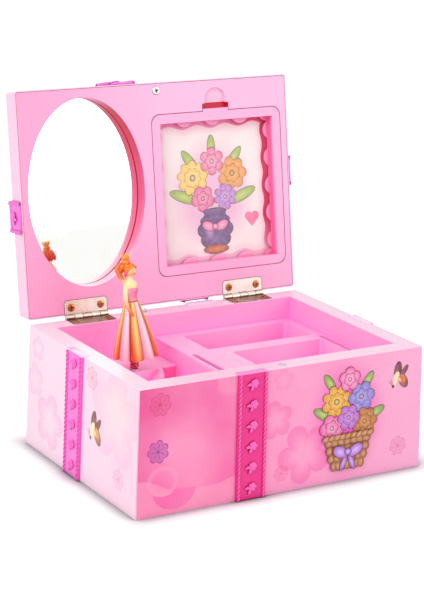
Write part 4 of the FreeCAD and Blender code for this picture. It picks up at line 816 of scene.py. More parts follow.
def run(length, roses, skew=0.0):
    """A band with two ropes and its roses, along v. Skew moves the far end sideways."""
    pieces = [band(length)]
    for side in (1, -1):
        strand = rope(length)
        pieces.append(lay(strand, Matrix.Translation((side * (ribbon_width / 2 - 1.4) * mm, 0, (ribbon_gauge - 0.5) * mm))))
    for level in roses:
        flower = twin(rose_pattern)
        pieces.append(lay(flower, Matrix.Translation((0, level * mm, (ribbon_gauge - 0.25) * mm))))
    made = weld(*pieces)
    made.data.transform(Matrix(((1, skew / length, 0, 0), (0, 1, 0, 0), (0, 0, 1, 0), (0, 0, 0, 1))))
    return made


rose_pitch = 12.7
side_shift = 7


def ribbon_light_and_shade():
    """Glossy magenta with painted light: lilac away from the front, with painted shade on the ropes and roses there;
    deep at the front, with painted highlights on the roses; painted shade in the crevices and a painted highlight on
    the lap over the rim.
    """
    paint = moulded("ribbon_moulding", tint(253, 128, 218), tint(250, 118, 211), 0.24, 0.2)
    x, y, z = paint.place()
    lean = z * (side_draft / base_top)
    proud = paint.maths("MAXIMUM", abs(x) - base_half_x + lean, abs(y) - base_half_y + lean)
    # Painted light: lilac sides with painted shade on ropes and roses, a deep front with painted highlights on the
    # roses, and painted shade in the crevices.
    raised = paint.rise(proud, 1.8, 2.5)
    across = abs(y + side_shift * paint.maths("SIGN", x))
    ropes = paint.rise(across, ribbon_width / 2 - 3.0, ribbon_width / 2 - 2.6)
    lilac = paint.mix(raised * 0.4 + ropes * 0.5, paint.colour, tint(232, 52, 170))
    deep = paint.mix(raised, tint(240, 38, 140), tint(255, 104, 194))
    front = paint.rise(y, -66, -69)
    groove = paint.mix(front, tint(246, 108, 202), tint(186, 4, 84))
    colour = paint.mix(paint.shut_in(2.2), paint.mix(front, lilac, deep), groove)
    # Painted highlight on the lap over the rim.
    lap = paint.mix(front, tint(253, 222, 249), tint(252, 146, 222))
    paint.set("Base Color", paint.mix(paint.rise(z, base_top - 0.15, base_top + 0.05), colour, lap))
    return paint


ribbon_paint = ribbon_light_and_shade()
ribbon_places = {"front": -24, "rear": -24, "left": -side_shift, "right": -side_shift}
for side, shift in ribbon_places.items():
    tall = math.hypot(base_top, side_draft) - ribbon_foot
    first = (tall - 5 * rose_pitch) / 2
    ribbon = run(tall, [first + rose_pitch * number for number in range(6)])
    lap = box((-ribbon_width / 2, tall - 0.05, -4), (ribbon_width / 2, tall + 0.5, ribbon_gauge))
    modify(lap, "BEVEL", width=0.2 * mm, segments=2, limit_method="ANGLE")
    weld(ribbon, lap)
    lay(ribbon, face_place(side) @ Matrix.Translation((shift * mm, ribbon_foot * mm, 0)))
    finish(ribbon, "base_ribbon_" + side, "base", ribbon_paint, ("ribbon_" + side,))

# %% [markdown]
# On the lid, one ribbon goes from the front edge to the rear, and one on each side butts against
# it. The lid is modelled closed, where its faces lie square, and then swung open about the hinge.

# %% Ribbons of the lid
hinge_y, hinge_z = 72.4, 78.1
lid_face = 78.5
lid_thickness = 15.2
lid_draft = 1.0
lid_opening = math.radians(98.76)
lid_half_x, lid_half_y = base_half_x - side_draft, base_half_y - side_draft
hinge_line = Matrix.Translation((0, hinge_y * mm, hinge_z * mm))
swing_open = hinge_line @ Matrix.Rotation(-lid_opening, 4, "X") @ hinge_line.inverted()


# The third tint is painted shade in the crevices.
lid_ribbon_paint = moulded("lid_ribbon_moulding", tint(248, 124, 224), tint(244, 106, 214), 0.24, 0.2, tint(204, 30, 136), 1.8)


def edge_place(side):
    """Takes flat coordinates to an edge of the closed lid."""
    half = lid_half_y if side in ("front", "rear") else lid_half_x
    lean = math.atan2(lid_draft, lid_thickness)
    return (Matrix.Rotation(math.radians(side_turns[side]), 4, "Z")
            @ Matrix.Translation((0, -half * mm, lid_face * mm)) @ Matrix.Rotation(math.pi / 2 - lean, 4, "X"))


def tab(side, rise):
    """The end of a ribbon, from the lid's outer face down one edge."""
    tall = lid_thickness + ribbon_gauge - rise
    made = run(tall, [tall / 2])
    bend = box((-ribbon_width / 2, tall - 2.8, -2.4), (ribbon_width / 2, tall, ribbon_gauge))
    modify(bend, "BEVEL", width=0.3 * mm, segments=2, limit_method="ANGLE")
    weld(made, bend)
    return lay(made, edge_place(side) @ Matrix.Translation((ribbon_places[side] * mm, rise * mm, 0)))


def strap(half, shift, clear=()):
    """A ribbon across the lid's outer face, with no rose in the clear stretch."""
    reach = half - lid_draft - ribbon_gauge
    length = math.hypot(2 * reach, 2 * shift)
    count = int(length / rose_pitch) - 1
    levels = [2 * reach * (number + 1) / (count + 1) for number in range(count)]
    made = run(2 * reach, [level for level in levels if not clear or abs(level - reach) > clear], -2 * shift)
    return lay(made, Matrix.Translation((shift * mm, -reach * mm, (lid_face + lid_thickness) * mm)))


def trimmed(piece, point, normal):
    """Cuts a piece by a plane and keeps what lies on the side of the normal."""
    cut = {"plane_co": point, "plane_no": normal, "use_fill": True, "clear_inner": True}
    return edit(piece, lambda: bpy.ops.mesh.bisect(**cut))


long_ribbon = weld(strap(lid_half_y, ribbon_places["front"]), tab("front", ribbon_foot), tab("rear", 3.4))
lay(long_ribbon, swing_open)
finish(long_ribbon, "lid_ribbon_front_to_rear", "lid", lid_ribbon_paint, ("lid_ribbon_long",))
reach = lid_half_y - lid_draft - ribbon_gauge
across = Vector((reach, ribbon_places["front"], 0)).normalized()
for side, sign in (("left", -1), ("right", 1)):
    half_ribbon = lay(strap(lid_half_x, ribbon_places[side], 16), Matrix.Rotation(math.pi / 2, 4, "Z"))
    trimmed(half_ribbon, across * sign * (ribbon_width / 2 + 0.3) * mm * across.x, across * sign)
    weld(half_ribbon, tab(side, ribbon_foot))
    lay(half_ribbon, swing_open)
    finish(half_ribbon, "lid_ribbon_on_" + side, "lid", lid_ribbon_paint, ("lid_ribbon_" + side,))
bpy.data.objects.remove(rose_pattern)

# %% [markdown]
# ## The ballerina
# The doll is painted plastic, about 65 mm tall, on a coil spring. Its gown has ten flutes in gold and
# pink, and it holds one hand behind its head and one on its skirt. It is modelled upright on its own
# axis, facing the flat -y, and then turned and leaned as it stands on the spring.

# %% Where the doll stands
doll_x, doll_y, doll_pivot = -47.0, 29.0, 58.3
doll_turn = math.radians(-31)
doll_lean = math.radians(5)
lean_bearing = math.radians(239)
lean_axis = Vector((math.cos(lean_bearing), math.sin(lean_bearing), 0))
pivot = Matrix.Translation((doll_x * mm, doll_y * mm, doll_pivot * mm))
doll_place = (pivot @ Matrix.Rotation(doll_lean, 4, lean_axis) @ pivot.inverted()
              @ Matrix.Translation((doll_x * mm, doll_y * mm, 0)) @ Matrix.Rotation(doll_turn, 4, "Z"))


def stack(profile, sides):
    """A tube of rings, each a height and a radius in millimetres, drawn up by extrusion."""
    low, first = profile[0]
    made = start(bpy.ops.mesh.primitive_circle_add, vertices=sides, radius=first * mm, location=(0, 0, low * mm))
    lay(made, Matrix())
    pick(made)
    bpy.ops.object.mode_set(mode="EDIT")
    bpy.ops.mesh.select_mode(type="VERT")
    bpy.ops.mesh.select_all(action="SELECT")
    for (below, narrow), (above, wide) in zip(profile, profile[1:]):
        bpy.ops.mesh.extrude_region_move(TRANSFORM_OT_translate={"value": (0, 0, (above - below) * mm)})
        ratio = wide / narrow
        bpy.ops.transform.resize(value=(ratio, ratio, 1), center_override=(0, 0, above * mm))
    bpy.ops.object.mode_set(mode="OBJECT")
    return made


print("doll axis at", doll_x, doll_y)

# %% [markdown]
# The gown is drawn up from the hem ring by ring. Then every vertex is pulled in between the flutes,
# most at the hem, and a Solidify modifier gives the plastic its thickness.

# %% Gown
flutes = 10
flute_start = math.radians(-83)
skirt_sway = 0.4
hem_level, waist_level = 62.6, 97.5
skirt_profile = [(62.6, 13.9), (63.4, 13.8), (66.0, 13.3), (70.0, 12.3), (74.5, 11.1), (79.0, 9.8), (84.0, 8.2), (89.0, 6.5),
                 (93.5, 4.9), (96.6, 3.95), (97.5, 3.65)]
bodice_profile = [(97.0, 3.7), (97.9, 3.95), (98.6, 3.6), (100.0, 3.55), (102.5, 4.0), (104.3, 4.6), (105.6, 4.5), (106.6, 3.9)]
gold_light, gold_deep = tint(255, 204, 84), tint(234, 68, 0)
rose_light, rose_deep = tint(255, 216, 220), tint(250, 174, 190)
# Colours of the painted highlight and the painted shade on the flutes.
gold_shine, rose_shine, gold_shade = tint(255, 240, 150), tint(255, 230, 236), tint(168, 40, 0)


def blend(share, first, second):
    """A colour part of the way between two others."""
    share = min(1.0, max(0.0, share))
    return tuple(a + (b - a) * share for a, b in zip(first, second))


def flute_swell(at):
    """1 on the crest of a flute, 0 in the groove between two."""
    return abs(math.cos((math.atan2(at.y, at.x) - flute_start) * flutes / 2))


def gown_ink(at):
    """Gold and pink by turns, deeper towards the hem, with painted shade in the grooves and on one side of each flute,
    and a painted highlight streak.
    """
    across = (math.atan2(at.y, at.x) - flute_start) / (2 * math.pi / flutes)
    number = round(across)
    # Painted highlight: a bright streak down each flute.
    shine = math.exp(-((across - number - 0.12) / 0.1) ** 2)
    drop = min(1.0, max(0.0, (waist_level - at.z / mm) / (waist_level - hem_level)))
    # Painted shade in the grooves, and on the side of each flute away from the light.
    groove = (1 - flute_swell(at)) ** 2
    away = max(0.0, number - across)
    if number % 2:
        colour = blend(0.1 + 0.6 * drop ** 1.6 + 0.4 * groove + 0.8 * away, rose_light, rose_deep)
        colour = blend(shine * 0.6, colour, rose_shine)
    else:
        colour = blend(0.15 + 0.6 * drop ** 1.6 + 0.4 * groove + 1.2 * away, gold_light, gold_deep)
        colour = blend(1.5 * (away - 0.08) * (1 - drop ** 2), colour, gold_shade)
        colour = blend(shine * (1.0 - 0.7 * drop ** 3), colour, gold_shine)
    return blend(0.6 * groove ** 2, colour, gold_shade)


skirt = stack(skirt_profile, flutes * 10)
for vertex in skirt.data.vertices:
    drop = (waist_level - vertex.co.z / mm) / (waist_level - hem_level)
    swell = flute_swell(vertex.co) ** 0.7
    pull = 1 - (0.08 + 0.05 * drop) * (1 - swell)
    vertex.co.x = vertex.co.x * pull + skirt_sway * drop * mm
    vertex.co.y *= pull
    if drop > 0.97:
        vertex.co.z += 0.9 * mm * (1 - swell)
modify(skirt, "SOLIDIFY", thickness=0.9 * mm, offset=-1)
ink(skirt, gown_ink)


def bodice_ink(at):
    """Pink satin with a gold band at the waist and another along the top, and painted shade deeper towards one side."""
    level = at.z / mm
    trim = max(0.0, 1 - abs(level - 97.9) / 0.7, 1 - abs(level - 106.1) / 0.6)
    return blend(trim * 1.6, blend((at.x / mm + 3) / 8, tint(251, 184, 206), tint(238, 122, 162)), gold_deep)


def bodice():
    """The fitted top of the gown, flatter from front to back than it is wide."""
    made = stack(bodice_profile, 32)
    edit(made, lambda: bpy.ops.mesh.fill_holes(sides=0))
    outward(made)
    made.data.transform(Matrix.Diagonal((1, 0.8, 1, 1)))
    return ink(made, bodice_ink)


def painted(name, gloss, metal=0.0):
    """Paint over moulded plastic, with brush marks and worn places."""
    paint = Paint(name, **{"Coat Weight": 0.4, "Coat Roughness": 0.15})
    made = paint.node("ShaderNodeVertexColor", {"layer_name": "ink"}, {})
    strokes = paint.noise(1.6, 3)
    colour = paint.mix(paint.rise(strokes, 0.5, 0.8) * 0.14, Value(paint, made.outputs["Color"]), tint(255, 238, 214))
    paint.set("Base Color", colour)
    paint.set("Roughness", gloss + 0.14 * strokes)
    paint.set("Metallic", metal)
    paint.relief(paint.noise(0.5, 2), 0.02)
    return paint


doll_shift = Matrix.Translation((0.9 * mm, 0, 0))
gown = lay(weld(skirt, bodice()), doll_place @ doll_shift)
finish(gown, "doll_gown", "ballerina", painted("gown_lustre_paint", 0.26, 0.1), ("ballerina_gown",), 50)

# %% [markdown]
# The figure is a short trunk, a neck, a head and two arms. The arms follow a few joints: a Skin
# modifier gives a line of vertices its flesh, and a Subdivision Surface rounds it.

# %% Figure
skin_light, skin_deep = tint(255, 234, 168), tint(238, 120, 36)
trunk_profile = [(105.2, 4.1), (106.8, 4.3), (108.4, 4.25), (109.6, 3.7), (110.5, 2.5), (111.4, 1.75), (112.6, 1.5), (114.6, 1.45)]


def limb(joints):
    """A limb through joints, each a place and a radius in millimetres."""
    made = start(bpy.ops.mesh.primitive_plane_add, size=1)
    edit(made, lambda: bpy.ops.mesh.merge(type="CENTER"))
    made.data.vertices[0].co = Vector(joints[0][0]) * mm
    pick(made)
    bpy.ops.object.mode_set(mode="EDIT")
    bpy.ops.mesh.select_mode(type="VERT")
    bpy.ops.mesh.select_all(action="SELECT")
    for (here, _), (there, _) in zip(joints, joints[1:]):
        step = (Vector(there) - Vector(here)) * mm
        bpy.ops.mesh.extrude_region_move(TRANSFORM_OT_translate={"value": step})
    bpy.ops.object.mode_set(mode="OBJECT")
    bpy.ops.object.modifier_add(type="SKIN")
    for corner, (_, radius) in zip(made.data.skin_vertices[0].data, joints):
        corner.radius = (radius * mm, radius * mm)
    bpy.ops.object.modifier_apply(modifier=made.modifiers[-1].name)
    return modify(made, "SUBSURF", levels=2, render_levels=2)


def skin_ink(at):
    """Pale skin with amber painted shade along the raised arm and towards the hands."""
    x, z = at.x / mm, at.z / mm
    far = max((z - 109) / 4 if x < -3 else 0.0, (101 - z) / 8)
    return blend(far, skin_light, skin_deep)


trunk = stack(trunk_profile, 24)
edit(trunk, lambda: bpy.ops.mesh.fill_holes(sides=0))
trunk.data.transform(Matrix.Diagonal((1, 0.74, 1, 1)))
outward(trunk)
raised_arm = limb([((-3.0, 0, 108.8), 1.6), ((-4.8, 0, 111.6), 1.7), ((-6.4, 0.2, 114.8), 1.7), ((-7.9, 0.4, 118.0), 1.5),
                   ((-6.8, 0.9, 120.0), 1.4), ((-5.0, 1.4, 121.0), 1.2), ((-3.4, 1.8, 121.4), 1.0)])
low_arm = limb([((-2.6, -1.2, 108.4), 1.7), ((-3.0, -3.2, 104.5), 1.85), ((-3.2, -4.2, 100.5), 1.6), ((-2.8, -5.2, 97.2), 1.35),
                ((-1.2, -6.8, 93.6), 1.15), ((1.2, -7.8, 90.0), 0.95)])
print("arms", len(raised_arm.data.polygons) + len(low_arm.data.polygons), "faces")

# %% [markdown]
# The head is a ball drawn in to a chin. The doll's face is plain and calm: two eyes with brows, a
# small nose and a mouth, all set into the head by their own colour. The head is turned to one side.

# %% Head and face
head_level, head_radius = 117.0, 4.0


def head():
    made = start(bpy.ops.mesh.primitive_uv_sphere_add, segments=28, ring_count=20, radius=1)
    for vertex in made.data.vertices:
        low = max(0.0, -vertex.co.z)
        vertex.co.x *= 0.86 - 0.22 * low ** 2
        vertex.co.y *= 0.92 - 0.10 * low ** 2
    lay(made, Matrix.Translation((0, 0, head_level * mm)) @ Matrix.Scale(head_radius * mm, 4))
    # The face is painted part way to amber, deeper towards one side as painted shade.
    return ink(made, lambda at: blend(0.4 + 0.04 * at.x / mm, skin_light, skin_deep))


def feature(place, halves, colour):
    """A small pressed ball on the face."""
    return ink(ball(place, halves, segments=12), lambda at: colour)


head_turn = Matrix.Translation((0.6 * mm, 0, 0)) @ Matrix.Rotation(math.radians(48), 4, "Z")
for piece in (trunk, raised_arm, low_arm):
    ink(piece, skin_ink)
face = [head(), feature((0, -3.75, 116.6), (0.36, 0.5, 0.55), skin_light),
        feature((0, -3.36, 114.95), (0.72, 0.3, 0.26), tint(226, 96, 96))]
for side in (1, -1):
    face.append(feature((side * 1.3, -3.36, 117.5), (0.62, 0.3, 0.4), tint(255, 250, 244)))
    face.append(feature((side * 1.3, -3.52, 117.45), (0.34, 0.22, 0.36), tint(92, 60, 48)))
    face.append(feature((side * 1.35, -3.3, 118.45), (0.78, 0.24, 0.14), tint(190, 110, 40)))
    face.append(feature((side * 1.9, -2.92, 115.9), (0.75, 0.3, 0.5), tint(255, 190, 160)))
figure = lay(weld(trunk, raised_arm, low_arm, lay(weld(*face), head_turn)), doll_place @ doll_shift)
finish(figure, "doll_figure", "ballerina", painted("skin_paint", 0.3), ("ballerina_figure",), 60)

# %% [markdown]
# Its hair is swept back into a bun with a small crown on it. The cap is a ball cut away at the face,
# the locks are limbs like the arms, and the crown is a ring whose upper corners are drawn to points.

# %% Hair and crown
hair_light, hair_deep = tint(252, 140, 26), tint(222, 62, 0)


def hair_ink(at):
    """Amber hair, darker low down and towards the back."""
    return blend(0.6 + at.y / mm / 10 + (117 - at.z / mm) / 14, hair_light, hair_deep)


def hair_cap():
    made = start(bpy.ops.mesh.primitive_uv_sphere_add, segments=32, ring_count=20, radius=1)
    lay(made, Matrix.Translation((0, 0.35 * mm, (head_level + 0.35) * mm))
        @ Matrix.Diagonal((0.97 * head_radius * mm, 1.0 * head_radius * mm, 1.04 * head_radius * mm, 1)))
    trimmed(made, Vector((0, -1.6, 117.2)) * mm, Vector((0, 0.72, 0.55)).normalized())
    for vertex in made.data.vertices:
        swirl = math.sin(math.atan2(vertex.co.x, vertex.co.z - head_level * mm) * 14)
        vertex.co += Vector((vertex.co.x, vertex.co.y, vertex.co.z - head_level * mm)) * 0.03 * swirl
    return made


def crown():
    """A band with ten points, on the bun."""
    made = stack([(124.3, 1.95), (125.0, 2.15), (125.7, 2.3), (126.3, 2.45)], 20)
    for number, vertex in enumerate(sorted(made.data.vertices, key=lambda v: math.atan2(v.co.y, v.co.x))):
        if vertex.co.z > 126 * mm:
            point = abs(math.cos(math.atan2(vertex.co.y, vertex.co.x) * 5))
            vertex.co.z += (1.2 * point - 0.4) * mm
    modify(made, "SOLIDIFY", thickness=0.3 * mm, offset=-1)
    return ink(made, lambda at: blend((at.z / mm - 124) / 3, tint(236, 124, 6), tint(255, 206, 84)))


locks = [limb([((-2.6, -2.4, 119.2), 0.8), ((-3.6, -0.6, 117.4), 0.9), ((-3.6, 1.0, 115.0), 0.8), ((-3.0, 1.6, 113.0), 0.5)]),
         limb([((2.6, -2.4, 119.2), 0.8), ((3.5, -0.6, 117.4), 0.9), ((3.4, 1.0, 115.2), 0.8), ((2.8, 1.7, 113.4), 0.5)]),
         limb([((-2.4, -2.2, 120.2), 0.8), ((-3.2, 0.4, 120.6), 1.0), ((-1.6, 1.0, 122.0), 0.9), ((0.8, 0.4, 122.4), 0.8)])]
swept = limb([((-1.6, 1.8, 120.4), 2.0), ((-4.0, 1.4, 119.2), 2.5), ((-5.6, 1.0, 117.6), 2.1), ((-4.8, 0.9, 114.8), 1.3)])
bun = ball((-1.8, 0.5, 122.4), (2.5, 2.5, 2.0), segments=20)
hair = [lay(weld(hair_cap(), *locks), head_turn), swept, bun]
for piece in hair:
    ink(piece, hair_ink)
crown_piece = lay(crown(), Matrix.Translation((-1.8 * mm, 0.5 * mm, 0)))
hair_piece = lay(weld(*hair, crown_piece), doll_place @ doll_shift)
finish(hair_piece, "doll_hair", "ballerina", painted("hair_paint", 0.24, 0.15), ("ballerina_hair",), 50)

# %% [markdown]
# The coil spring stands under the doll; on the real box it lets the doll bow when the lid shuts. A Screw
# modifier winds it from a small circle, as with the ropes, and the wire's two ends are closed.

# %% Spring
coil_radius, wire_radius, coil_pitch, coil_turns = 2.4, 0.5, 1.65, 4.5
coil_foot = 54.55
spring = start(bpy.ops.mesh.primitive_circle_add, vertices=12, radius=wire_radius * mm)
lay(spring, Matrix.Translation((coil_radius * mm, 0, 0)) @ Matrix.Rotation(math.pi / 2, 4, "X"))
modify(spring, "SCREW", angle=2 * math.pi * coil_turns, screw_offset=coil_pitch * coil_turns * mm, iterations=1,
       steps=round(coil_turns * 28), render_steps=round(coil_turns * 28))
edit(spring, lambda: bpy.ops.mesh.fill_holes(sides=0))
outward(spring)
lay(spring, Matrix.Translation((doll_x * mm, doll_y * mm, coil_foot * mm)))
spring_paint = Paint("coppered_wire", **{"Metallic": 1.0})
wear = spring_paint.noise(1.5, 3)
spring_paint.set("Base Color", spring_paint.mix(spring_paint.rise(wear, 0.35, 0.7), tint(196, 64, 84), tint(236, 136, 140)))
spring_paint.set("Roughness", 0.22 + 0.2 * wear)
finish(spring, "doll_coil_spring", "doll_spring", spring_paint, ("doll_spring",))

# %% [markdown]
# ## The inside of the lid
# The lid's inner face is painted paler towards the right, as painted light where it faces the light, and a
# little deeper towards the hinge. The slot over the picture door's clip gets a painted shadow, the scoop
# above it a painted highlight, and the narrow gaps painted shade and a painted glow. The shell's outer face
# is painted deeper, as painted shade under the strong light from above. To paint by place, a Mapping node
# takes a point back to the closed lid: x across, s from the hinge side and d into the lid.

# %% Lid mouldings
door_top, clip_height, slot_height = 121.0, 1.8, 3.4
clip_middle, clip_half = 43.8, 9.9


# The pink of the painted shade and the painted glow in the lid's narrow gaps.
painted_gap_pink = tint(184, 22, 88)
mirror_middle, mirror_halves = (-52.2, 76.0), (41.0, 59.3)


def lid_axes(paint):
    x, back, deep = paint.place((0, hinge_y, hinge_z), (-lid_opening, 0, 0))
    return x, -back - 1.5, deep - 0.4


def from_mirror(paint):
    """Where a point is round the mirror: across and up, with 1 at the edge of the opening."""
    x, s, d = lid_axes(paint)
    return (x - mirror_middle[0]) / mirror_halves[0], (s - mirror_middle[1]) / mirror_halves[1], d


def recess_share(paint):
    """1 on the wall round the mirror and 0 on the lid's face."""
    across, rise, d = from_mirror(paint)
    return paint.rise(paint.maths("SQRT", across * across + rise * rise), 1.006, 1.002) * paint.rise(d, 0.05, 0.3)


def recess_light_and_shade(paint):
    """Painted light on the wall round the mirror: painted shade in deep pink on the side away from the light, deepest
    at the top, and a pale painted highlight along the bottom.
    """
    across, rise, d = from_mirror(paint)
    shade = paint.mix(paint.rise(rise, -0.55, 0.0), tint(244, 130, 176), tint(230, 80, 140))
    shade = paint.mix(paint.rise(rise, 0.0, 0.7), shade, tint(206, 16, 66))
    side = paint.mix(paint.rise(across, 0.1, 0.6), tint(251, 168, 208), shade)
    return paint.mix(paint.rise(rise, -0.5, -0.9), side, tint(255, 208, 228))


def painted_gap_glow(paint):
    """A painted glow: a little pink emission in the narrow gaps, where Ambient Occlusion finds them."""
    glow(paint, paint.mix(paint.shut_in(1.6), (0.0, 0.0, 0.0), painted_gap_pink), 0.32)


lid_plastic = moulded("lid_moulding", tint(254, 192, 228), tint(253, 186, 222), well=painted_gap_pink, reach=1.6)
lid_x, lid_s, lid_d = lid_axes(lid_plastic)
# Painted shade on the left of the inner face, away from the light.
left_side_shade = lid_plastic.rise(lid_x, 30, -98)
low_part = lid_plastic.rise(lid_s, 70, 0)
lid_colour = lid_plastic.mix(left_side_shade * 0.8, lid_plastic.colour, tint(252, 156, 201))
lid_colour = lid_plastic.mix(low_part * 0.3, lid_colour, tint(254, 150, 196))
# Painted shadow in the slot over the door's clip.
slot_shadow = (lid_plastic.rise(lid_s, door_top + clip_height - 0.4, door_top + clip_height)
        * lid_plastic.rise(lid_s, door_top + clip_height + slot_height + 0.4, door_top + clip_height + slot_height)
        * lid_plastic.rise(abs(lid_x - clip_middle), clip_half + 0.4, clip_half) * lid_plastic.rise(lid_d, 0.1, 0.5))
scoop_top = 134.0
# Painted highlight on the scoop above the slot.
scoop_highlight = (lid_plastic.rise(lid_s, door_top + clip_height + slot_height, door_top + clip_height + slot_height + 0.8)
         * lid_plastic.rise(lid_s, scoop_top, scoop_top - 2) * lid_plastic.rise(abs(lid_x - clip_middle), clip_half, clip_half - 1)
         * lid_plastic.rise(lid_d, 0.1, 0.4))
lid_colour = lid_plastic.mix(scoop_highlight * 0.8, lid_colour, tint(255, 212, 238))
lid_colour = lid_plastic.mix(slot_shadow, lid_colour, tint(206, 0, 40))
# Painted light and shade on the wall round the mirror.
wall_part = recess_share(lid_plastic)
lid_colour = lid_plastic.mix(wall_part, lid_colour, recess_light_and_shade(lid_plastic))
lid_plastic.set("Base Color", lid_colour)
lid_plastic.set("Coat Weight", 0.25 - 0.25 * lid_plastic.maths("MAXIMUM", wall_part, slot_shadow))
painted_gap_glow(lid_plastic)
coat(lid_plastic, "lid_panel")

shell_plastic = moulded("lid_shell_moulding", tint(255, 212, 238), tint(254, 202, 231), well=painted_gap_pink, reach=1.6)
# Painted shade: the outer face is painted deeper, against the strong light from above.
outer_face_shade = shell_plastic.rise(lid_axes(shell_plastic)[2], 13.6, 14.6)
shell_plastic.set("Base Color", shell_plastic.mix(outer_face_shade, shell_plastic.colour, tint(252, 184, 212)))
painted_gap_glow(shell_plastic)
coat(shell_plastic, "lid_shell")

door_plastic = moulded("door_moulding", tint(253, 183, 222), tint(253, 177, 217), well=painted_gap_pink, reach=1.6)
door_x, door_s, door_d = lid_axes(door_plastic)
# Painted shade on the door's right inner wall.
right_wall_shade = door_plastic.rise(door_d, 0.3, 3) * door_plastic.rise(door_x, 60, 82)
door_plastic.set("Base Color", door_plastic.mix(right_wall_shade, door_plastic.colour, tint(252, 112, 172)))
painted_gap_glow(door_plastic)
coat(door_plastic, "picture_door")
# The third tint is painted shade in the mat's corners and hollows.
mat_plastic = moulded("mat_moulding", tint(255, 186, 222), tint(254, 172, 212), well=tint(244, 92, 150), reach=5)
coat(mat_plastic, "picture_mat")

bezel_plastic = moulded("bezel_moulding", tint(254, 158, 202), tint(252, 148, 194))
# Painted light and shade as on the wall round the mirror, with deeper painted shade on the right.
bezel_colour = bezel_plastic.mix(0.9, bezel_plastic.colour, recess_light_and_shade(bezel_plastic))
bezel_side_shade = bezel_plastic.rise(from_mirror(bezel_plastic)[0], 0.3, 0.8)
bezel_colour = bezel_plastic.mix(bezel_side_shade * 0.4, bezel_colour, tint(206, 30, 76))
# Painted shadow: a dark red line where the bezel meets the mirror, with a painted glow.
bezel_foot_shadow = bezel_plastic.rise(lid_axes(bezel_plastic)[2], 7.8, 8.3)
bezel_plastic.set("Base Color", bezel_plastic.mix(bezel_foot_shadow, bezel_colour, tint(160, 0, 30)))
bezel_plastic.set("Coat Weight", 0.0)
bezel_plastic.set("Roughness", 0.4 + 0.5 * bezel_foot_shadow)
glow(bezel_plastic, bezel_plastic.mix(bezel_foot_shadow, (0.0, 0.0, 0.0), tint(176, 4, 36)), 0.3)
coat(bezel_plastic, "mirror_bezel")
print("lid mouldings 5")

# %% [markdown]
# The mirror is silvered glass. It has hardly any colour of its own, only faint smears where it has
# been wiped, which show in its roughness.

# %% Mirror and glazing
mirror_paint = Paint("silvered_glass", **{"Metallic": 1.0})
smears = mirror_paint.rise(mirror_paint.noise(22, 4, 0.6), 0.45, 0.8)
mirror_paint.set("Base Color", mirror_paint.mix(smears, tint(252, 252, 250), tint(250, 246, 238)))
mirror_paint.set("Roughness", 0.015 + 0.05 * smears)
coat(mirror_paint, "mirror")

glazing_paint = Paint("clear_sheet", **{"Base Color": tint(255, 250, 250), "Specular IOR Level": 0.5})
haze = glazing_paint.rise(glazing_paint.noise(30, 3), 0.5, 0.8)
glazing_paint.set("Roughness", 0.05 + 0.08 * haze)
glazing_paint.set("Alpha", 0.03 + 0.04 * haze)
coat(glazing_paint, "picture_glazing")
print("mirror and glazing ready")

# %% [markdown]
# ## The picture
# Behind the glazing lies a printed card. Its ground is cream, with a wavy edge and a pink border.
# Painted shade deepens the border towards the top, and a deep pink painted shadow lies along it on the
# side away from the viewer. The drawing on it is a vase of flowers, made as a transfer like the posy on
# the front.

# %% Card
card_low, card_high = (-3.4, 17.4), (92.4, 120.6)
window_low, window_high = (2.2, 23.0), (86.8, 115.0)
card_face, card_back = 8.45, 8.8
card_place = swing_open @ Matrix.Translation((0, lid_half_y * mm, (lid_face + card_face) * mm)) @ Matrix.Rotation(math.pi, 4, "X")


def card_paint():
    paint = Paint("printed_card", **{"Specular IOR Level": 0.3})
    x, s, d = lid_axes(paint)
    grain = paint.noise(0.7, 3)
    drift = paint.rise(paint.noise(24, 2), 0.35, 0.7)
    colour = paint.mix(drift, tint(255, 250, 244), tint(255, 242, 238))
    from_side = paint.maths("MINIMUM", paint.maths("MINIMUM", x - window_low[0], window_high[0] - x),
                            paint.maths("MINIMUM", s - window_low[1], window_high[1] - s))
    lobe_across, lobe_up = (window_high[0] - window_low[0]) / 4, (window_high[1] - window_low[1]) / 5
    wave = (paint.maths("COSINE", (x - window_low[0]) * (2 * math.pi / lobe_across))
            - paint.maths("COSINE", (s - window_low[1]) * (2 * math.pi / lobe_up)))
    edge = from_side - 4.2 - 0.9 * wave
    colour = paint.mix(paint.rise(edge, 5, 0) * 0.6, colour, tint(253, 216, 226))
    # Painted shade: the border is deeper towards the top. Painted shadow: deep pink along its right side.
    border = paint.mix(paint.rise(s, 40, 28), tint(250, 146, 192), tint(253, 190, 218))
    colour = paint.mix(paint.rise(edge, 0.3, -0.3), colour, border)
    colour = paint.mix(paint.rise(edge, 0.3, -0.6) * paint.rise(x, 46, 76) * paint.rise(s, 24, 50), colour, tint(228, 44, 104))
    across = (x - 43) / 36
    up = (s - 66) / 42
    halo = paint.maths("SQRT", across * across + up * up)
    colour = paint.mix(paint.rise(halo, 1.0, 0.45) * 0.7, colour, tint(242, 176, 216))
    paint.set("Base Color", colour)
    paint.set("Roughness", 0.5 + 0.2 * grain)
    paint.relief(grain, 0.02)
    return paint


card = box((card_low[0], card_low[1], card_face - card_back), (card_high[0], card_high[1], 0))
corner_edges = ("EDGE", lambda mesh: [edge for edge in mesh.edges if abs(mesh.vertices[edge.vertices[0]].co.z
                                                                        - mesh.vertices[edge.vertices[1]].co.z) > 1e-5])
edit(card, lambda: bpy.ops.mesh.bevel(offset=6 * mm, segments=6), corner_edges)
lay(card, card_place)
finish(card, "picture_print", "lid", card_paint(), ("picture_card",))

# %% [markdown]
# The vase is plum with a warm foot. Yellow and amber flowers stand in it with pink ones, and a small
# heart floats beside it.

